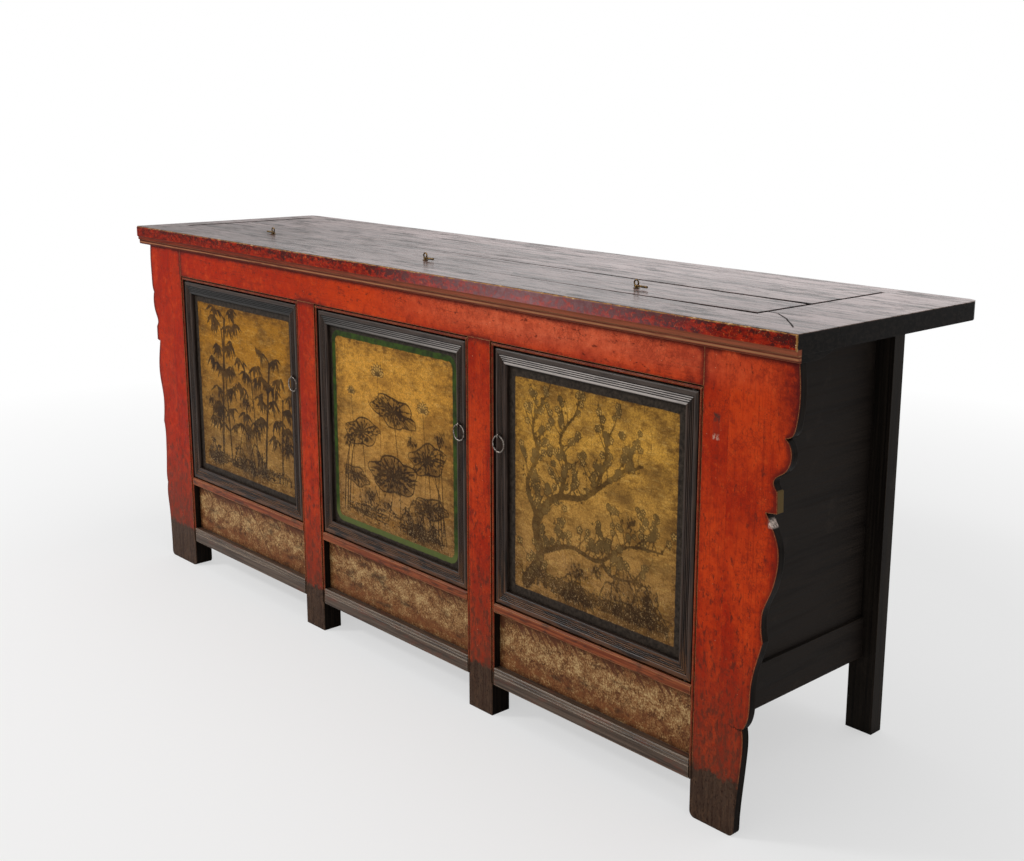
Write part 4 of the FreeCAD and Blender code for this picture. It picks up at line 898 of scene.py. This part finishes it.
def twig(page, u, v, side, reach, dark):
    """A thin side shoot with two or three bunches of hanging leaves."""
    rise = reach * page.draw(0.35, 0.8)
    line = [(u, v), (u + side * reach * 0.5, v + rise * 0.7), (u + side * reach, v + rise)]
    page.brush(line, [1.3, 0.9, 0.6], min(dark, 0.8))
    for share in (0.55, 0.8, 1.0):
        at = (u + side * reach * share, v + rise * (0.5 + 0.5 * share) * share ** 0.3)
        for angle in page.draw(-2.7, -0.45, page.random.integers(3, 6)):
            long = page.draw(22, 42)
            blade = [at, at + toward(angle, long * 0.4) + (0, 2.0), at + toward(angle, long)]
            page.brush(blade, [0.8, 5.6, 3.2, 0.4], page.draw(dark - 0.2, min(dark + 0.3, 0.98)))


print("Bamboo has", len(STEMS), "stems")

# %% [markdown]
# ### Lotus
# Broad leaves with veins stand over the water on thin stalks, with flowers and reeds between
# them. A leaf is three rings of wash under its veins and its rim, because a filled outline
# would lose the soft edge of a wet brush.

# %% Lotus
# place, half width, half height, tilt and darkness of each leaf
LEAVES = ((120, 236, 62, 30, 0.15, 0.6), (236, 300, 74, 32, -0.12, 0.72), (352, 218, 58, 34, 0.2, 0.62),
          (232, 160, 82, 40, 0.05, 0.95), (96, 132, 46, 20, -0.1, 0.62), (360, 116, 54, 22, 0.05, 0.8))
# place and size of each flower, and foot and lean of each reed
FLOWERS = ((182, 372, 25), (338, 318, 21), (84, 318, 15))
REEDS = ((398, -34), (412, -62), (384, 16), (60, 26), (48, 48), (404, -20), (66, 60))
RIM_POINTS = 26


def lotus(page):
    """Leaves and flowers on their stalks, reeds at both sides, and growth and stones below."""
    for u, v, *form, dark in LEAVES:
        foot = u + page.draw(-22, 22)
        page.brush([(u, v), ((u + foot) / 2 + 6, (v + 52) / 2), (foot, 52)], [2.4, 1.8, 2.2], 0.7)
        leaf(page, u, v, *form, dark)
    for u, v, size in FLOWERS:
        page.brush([(u, v - 4), (u + 7, (v + 60) / 2), (u - 6, 58)], [1.8, 1.4, 1.8], 0.6)
        flower(page, u, v, size)
    for u, lean in REEDS:
        tall = page.draw(150, 270)
        blade = [(u, 46), (u + lean * 0.3, 46 + tall * 0.6), (u + lean, 46 + tall)]
        page.brush(blade, [3.0, 3.8, 2.0, 0.4], page.draw(0.5, 0.8))
    haze(page, 50, 400, 60, 300, 26)
    for place in ((150, 100, 32, 26), (204, 92, 26, 20), (70, 210, 24, 18), (392, 270, 26, 20),
                  (300, 246, 24, 16)):
        bush(page, *place)
    ground(page, 40, 428, 60, 90)
    moss(page, 150, 66, 34, 60, 2.6, 0.95)
    moss(page, 320, 60, 44, 70, 2.4, 0.9)
    rock(page, 250, 400, 40, 128)


def leaf(page, u, v, wide, tall, tilt, dark):
    """A lotus leaf seen from the side: a ragged oval of wash with veins that run to its rim."""
    heart = np.array((u, v))
    turns = np.linspace(0, 2 * math.pi, RIM_POINTS)
    ragged = 1 + 0.12 * np.sin(turns * 5 + u) + page.draw(-0.06, 0.06, RIM_POINTS)
    upward = v + np.sin(turns) * tall * ragged + np.cos(turns) * wide * tilt
    rim = np.stack([u + np.cos(turns) * wide * ragged, upward], -1)
    rim[-1] = rim[0]
    for share in (0.3, 0.55, 0.8):
        page.brush(heart + (rim - heart) * share, [tall * 0.56], dark * 0.55, "wash", 5)
    for end in rim[::2]:
        bend = heart + (end - heart) * 0.55 + (0, 2.5)
        page.brush([heart, bend, end], [3.4, 2.4, 1.2], dark * page.draw(0.7, 1.05))
    for _ in range(int(wide * tall / 12)):
        du, dv = toward(page.draw(0, 2 * math.pi), page.draw(0.2, 0.92))
        at = np.array((u + du * wide, v + dv * tall + du * wide * tilt))
        widths = [page.draw(2.0, 5.4), 1.2]
        page.brush([at, at + (at - heart) * 0.16], widths, dark * page.draw(0.45, 1.0))
    page.brush(rim, [1.8, 3.2, 1.6, 2.8, 1.8], min(dark * 1.1, 0.98))


def flower(page, u, v, size):
    """An open lotus flower of pointed petals round its heart."""
    for angle in (-1.35, 1.35, -0.95, 0.95, -0.5, 0.5, 0.0):
        out, side = np.array((math.sin(angle), math.cos(angle))) * size, toward(-angle, size * 0.26)
        middle, tip = (u, v) + out * 0.55, (u, v) + out * (1, 1.05)
        page.brush([(u, v), middle, tip], [size * 0.3, size * 0.55, 0.6], 0.75, "pale", 1.5)
        for edge in (side, -side):
            page.brush([(u, v), middle + edge, tip], [0.9, 1.4, 1.0], 0.85)
    page.brush([(u - size * 0.2, v + 1), (u + size * 0.2, v + 1)], [size * 0.3], 0.7)


print("Lotus has", len(LEAVES), "leaves and", len(FLOWERS), "flowers")

# %% [markdown]
# ### Flowering plum
# An old bent trunk, dark and knotted, throws up straight young shoots. Small blossoms of five
# round petals sit along them. Each limb is one stroke that tapers, and the darker edges and the
# knots along it make it look old.

# %% Plum
# the points of each limb from its foot to its end, and its widths along them
LIMBS = (
    ([(58, 40), (96, 104), (84, 168), (138, 226), (214, 244), (300, 306), (356, 330)],
     [27, 20, 17, 12, 9, 5, 2.5]),
    ([(86, 176), (60, 236), (88, 300), (74, 352), (104, 410)], [11, 8, 6, 4, 1.5]),
    ([(150, 232), (166, 292), (150, 344), (196, 402)], [8, 6, 4, 1.5]),
    ([(100, 112), (178, 140), (252, 132), (322, 176), (408, 186)], [11, 8, 6, 4, 1.5]),
    ([(252, 136), (288, 112), (352, 118)], [5, 3.5, 1.5]),
    ([(236, 256), (268, 330), (256, 386)], [5, 3.5, 1.5]),
)


def plum(page):
    """Limbs with knots and shoots, and growth and stones below them."""
    for line, widths in LIMBS:
        wide = np.array(widths, float)
        page.brush(line, wide, 0.72, soft=1.6)
        for side in (-0.42, 0.42):
            edge = [(u + side * w, v + abs(side) * w * 0.3) for (u, v), w in zip(line, wide)]
            page.brush(edge, wide * 0.22 + 0.6, 0.85)
        path = smooth_line(line)
        for at in path[::3]:
            knot = at + page.random.normal(0, wide[0] * 0.22, 2)
            page.brush([knot, knot + (3.0, 1.2)], [page.draw(1.2, 3.4)], page.draw(0.4, 0.95))
        for at in path[8::9]:
            shoot(page, at, page.draw(28, 84))
    haze(page, 50, 400, 50, 340, 28)
    for place in ((196, 98, 30, 22), (248, 112, 24, 18), (380, 96, 30, 26), (96, 70, 30, 18),
                  (330, 226, 26, 16)):
        bush(page, *place)
    rock(page, 250, 424, 40, 140)
    rock(page, 130, 240, 38, 86)
    ground(page, 40, 428, 54, 84)
    for u in range(56, 425, 19):
        grass(page, u + page.draw(-7, 7), 42, 26, 6)


def shoot(page, at, reach):
    """A straight young shoot with blossoms and buds along it."""
    end = at + toward(page.draw(0.5, 2.5), reach)
    middle = (at + end) / 2 + page.random.normal(0, 2, 2)
    page.brush([at, middle, end], [2.2, 1.6, 0.7], page.draw(0.6, 0.9))
    for share in page.draw(0.25, 1.0, max(2, int(reach / 14))):
        centre = at + (end - at) * share + page.random.normal(0, 3.0, 2)
        if page.random.random() < 0.6:
            blossom(page, centre, page.draw(5.0, 7.5))
        else:
            page.brush([centre, centre + (0.6, 1.4)], [3.4, 2.6], 0.85)


def blossom(page, centre, size):
    """Five round petals with dark rims, and a dot for the stamens."""
    start = page.draw(0, 2)
    for petal in range(5):
        angle = start + petal * 2 * math.pi / 5
        middle = centre + toward(angle, size * 0.62)
        page.brush([middle, middle + (0.2, 0.2)], [size * 0.78], 0.8, "pale", 0.8)
        rim = [middle + toward(angle + turned, size * 0.42) for turned in (-2, -1, 0, 1, 2)]
        page.brush(rim, [1.1, 1.5, 1.1], 0.9)
    page.brush([centre, centre + (0.3, 0.3)], [2.6], 0.95)


print("Plum has", len(LIMBS), "limbs")

# %% [markdown]
# ### The boards
# Each board starts as a block of the node's own size. Its front face is cut into a fine grid,
# so that the face has vertices about a millimetre and a half apart to carry the picture.

# %% Painted boards
FACE_CUTS = (17, 15)
PICTURES = {"left": (bamboo, 11), "middle": (lotus, 23), "right": (plum, 37)}


def painted_board(bay):
    """The board of one door with a fine face that carries its picture."""
    low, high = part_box(f"door_{bay}_panel")
    bpy.ops.object.select_all(action="DESELECT")
    bpy.ops.mesh.primitive_cube_add(size=1, location=(low + high) / 2, scale=high - low)
    board = bpy.context.object
    board.name = f"painted_board_{bay}"
    bpy.ops.object.transform_apply(location=True, rotation=True, scale=True)
    bpy.ops.object.mode_set(mode="EDIT")
    bpy.ops.mesh.select_mode(type="FACE")
    bpy.ops.mesh.select_all(action="DESELECT")
    bpy.ops.object.mode_set(mode="OBJECT")
    for face in board.data.polygons:
        face.select = face.normal.y < -0.9
    bpy.ops.object.mode_set(mode="EDIT")
    for cuts in FACE_CUTS:
        bpy.ops.mesh.subdivide(number_cuts=cuts)
    bpy.ops.object.mode_set(mode="OBJECT")

    paint, seed = PICTURES[bay]
    size = (high - low) / MM
    page = Page(size.x, size.z, seed)
    paint(page)
    places = np.zeros(len(board.data.vertices) * 3)
    board.data.vertices.foreach_get("co", places)
    x, _, z = places.reshape(-1, 3).T
    across, up = np.clip((x - low.x) / MM, 0, size.x), np.clip((z - low.z) / MM, 0, size.z)
    column, row = across.astype(int), up.astype(int)
    right, above = across - column, up - row
    for name, grid in page.layers.items():
        here, over = (grid[r, column] * (1 - right) + grid[r, column + 1] * right for r in (row, row + 1))
        value = here * (1 - above) + over * above
        board.data.attributes.new(name, "FLOAT", "POINT").data.foreach_set("value", value.astype(np.float32))
    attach(board, f"door_{bay}")
    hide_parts(f"door_{bay}_panel")
    print(board.name, "has", len(board.data.polygons), "faces")
    return board


boards = {bay: painted_board(bay) for bay in BAYS}

# %% [markdown]
# ### Gold ground
# The ground is a yellow-brown lacquer over thin leaf, mottled, darker towards its rim and low
# down, with fine upright cracks. Ink sits on it in brown-black, thin where the brush was dry.
# Outside the picture the board is black, and the middle door has a green band between the two.
# A point's distance from a rounded rectangle tells where it lies, so one field makes both ragged.

# %% Gold ground
BLACK_RIM = {"left": 0.0235, "middle": 0.016, "right": 0.0255}
GREEN_BAND = {"left": 0.0, "middle": 0.0125, "right": 0.0}
CORNER_ROUND = {"left": 0.002, "middle": 0.012, "right": 0.002}
INK_STRENGTH = {"left": 0.94, "middle": 0.92, "right": 0.8}
# each door's gold low down, its gold high up, and its darker clouds
GOLD_TONES = {"left": ("#A0763A", "#B47A1C", "#6A4818"), "middle": ("#AC8048", "#DC9E3C", "#9A6A28"),
              "right": ("#AE8248", "#D49E40", "#86602A")}


def rim_depth(gold, bay, centre, half):
    """How far a point lies outside the picture's edge, ragged and with rounded corners."""
    reach = BLACK_RIM[bay] + GREEN_BAND[bay]
    corner = []
    for along, middle, side in ((gold.x, centre.x, half.x), (gold.z, centre.z, half.z)):
        distance = gold.calc("ABSOLUTE", gold.calc("SUBTRACT", along, middle))
        corner.append(gold.calc("SUBTRACT", distance, side - reach - CORNER_ROUND[bay]))
    outer = {axis: gold.calc("MAXIMUM", side, 0) for axis, side in enumerate(corner)}
    both = gold.add("CombineXYZ", outer).outputs[0]
    outside = gold.add("VectorMath", {0: both}, operation="LENGTH").outputs["Value"]
    inside = gold.calc("MINIMUM", gold.calc("MAXIMUM", *corner), 0)
    depth = gold.calc("SUBTRACT", gold.total(outside, inside), CORNER_ROUND[bay])
    return gold.total(depth, gold.calc("MULTIPLY_ADD", gold.cloud(14, 50, 5, 0.65), 0.004, -0.002))


def gold_ground(bay):
    """The finish of one painted board."""
    deep, bright, clouds = GOLD_TONES[bay]
    gold = Finish(f"ink on gold ground, {bay} door", deep, 0.07)
    low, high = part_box(f"door_{bay}_panel")
    depth = rim_depth(gold, bay, (low + high) / 2, (high - low) / 2)

    # the gold itself, brightest at the top of the middle door
    gold.lay(bright, (gold.z, 0.36, 0.62))
    gold.lay(clouds, (gold.cloud((70, 70, 50), 2, 6, 0.62), 0.48, 0.64, 0, 0.8))
    mottle = gold.cloud((16, 16, 9), 8, 8, 0.74)
    gold.lay("#5E3E18", (mottle, 0.49, 0.66, 0, 0.6))
    # pale streaks along the brush lines, partly the gold's own tone and partly a painted highlight of its
    # glints
    gold.lay("#E8BC68", (gold.cloud((26, 26, 5), 14, 8, 0.74), 0.53, 0.68, 0, 0.5))
    gold.lay("#8E5F26", (gold.cloud(4, 18, 5, 0.7), 0.52, 0.66, 0, 0.45))
    gold.lay("#4E3014", (depth, -0.04, 0), (mottle, 0.38, 0.58, 0.3, 1), 0.75)
    gold.lay("#4A2E14", (gold.cloud((2.2, 2.2, 30), 26, 3, warp=0.6), 0.64, 0.7, 0, 0.65))
    gold.lay("#4A2E14", gold.craze(6, 28), 0.35)

    # the picture
    ink, wash, pale = (gold.add("Attribute", attribute_name=name).outputs["Fac"] for name in LAYERS)
    gold.lay("#4A321A", wash, (mottle, 0.35, 0.6, 0.75, 1))
    gold.lay("#DDB468", pale, 0.45)
    dry = gold.calc("SUBTRACT", gold.cloud(2.2, 32, 4, 0.7), 0.5)
    held = gold.calc("MULTIPLY_ADD", dry, -1.2, ink)
    gold.lay("#25170B", (held, 0.04, 0.48, 0, INK_STRENGTH[bay]), (gold.cloud(40, 38, 5), 0.36, 0.6, 0.82, 1))
    gold.lay("#C4A272", (gold.cloud((3, 3, 4), 44, 6, 0.78), 0.56, 0.63), (gold.z, 0.46, 0.31), 0.75)

    # the rim
    if GREEN_BAND[bay]:
        green = gold.mix("#262C17", ("#374C19", (gold.cloud(22, 56, 7, 0.7), 0.36, 0.58)),
                         ("#6C7440", (gold.z, low.z + 0.06, low.z + 0.03, 0, 0.55)))
        gold.lay(green, (depth, 0, 0.0012))
    black = gold.coat("#211B16", "#40372F", (gold.cloud(9, 62, 6, 0.68), 0.36, 0.64))
    gold.lay(black, (depth, GREEN_BAND[bay], GREEN_BAND[bay] + 0.0014))
    # painted shade: darker in the corners of the recess in the frame
    gold.lay("#120D0A", gold.hollow_shade(10), 0.8)

    # the inner face was never painted
    bare = gold.coat("#2A1F18", "#4E3C2C", (gold.cloud((5, 5, 260), 70, 6, 0.66), 0.36, 0.64))
    gold.lay(bare, (gold.y, low.y + 0.6 * MM, low.y + 1.6 * MM))
    gold.close(mottle, 0.25, roughness=(mottle, 0.35, 0.65, 0.38, 0.6))
    return gold


for bay, board in boards.items():
    board.data.materials.append(gold_ground(bay).material)
print("Three pictures hang in their doors")

# %% [markdown]
# ## Which node wears which finish
# Every CAD node keeps its mesh and gets a finish that suits how its board was cut. The names say
# what each board is, so the longest start that fits decides, and few lines serve all the nodes.

# %% Dress the nodes
WEARS = {
    "front_wing": upright_red, "front_corner_post": upright_red, "front_mid_post": upright_red,
    "front_top_rail": long_red, "sill_rail": sill, "bottom_rail": rail, "apron_panel": apron,
    "top_battens": back_wood, "top_": top, "side_": side_wood, "rear_corner_posts": post_wood,
    "rear_mid_posts": post_wood, "rear_": back_wood, "floor_": inside_wood, "lock_pin": bronze,
}
DOOR_WEARS = {"rail": long_black, "stile": upright_black, "staple": iron, "ring_pull": iron,
              "panel": long_black}


def finish_of(name):
    """The finish for a node, by the longest start of its name, or by its end on a door."""
    if name.startswith("door_"):
        return next(finish for end, finish in DOOR_WEARS.items() if name.endswith(end))
    return WEARS[max((start for start in WEARS if name.startswith(start)), key=len)]


for name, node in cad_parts.items():
    node.data.materials.clear()
    node.data.materials.append(finish_of(name).material)
print(len(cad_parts), "nodes are dressed")

# %% [markdown]
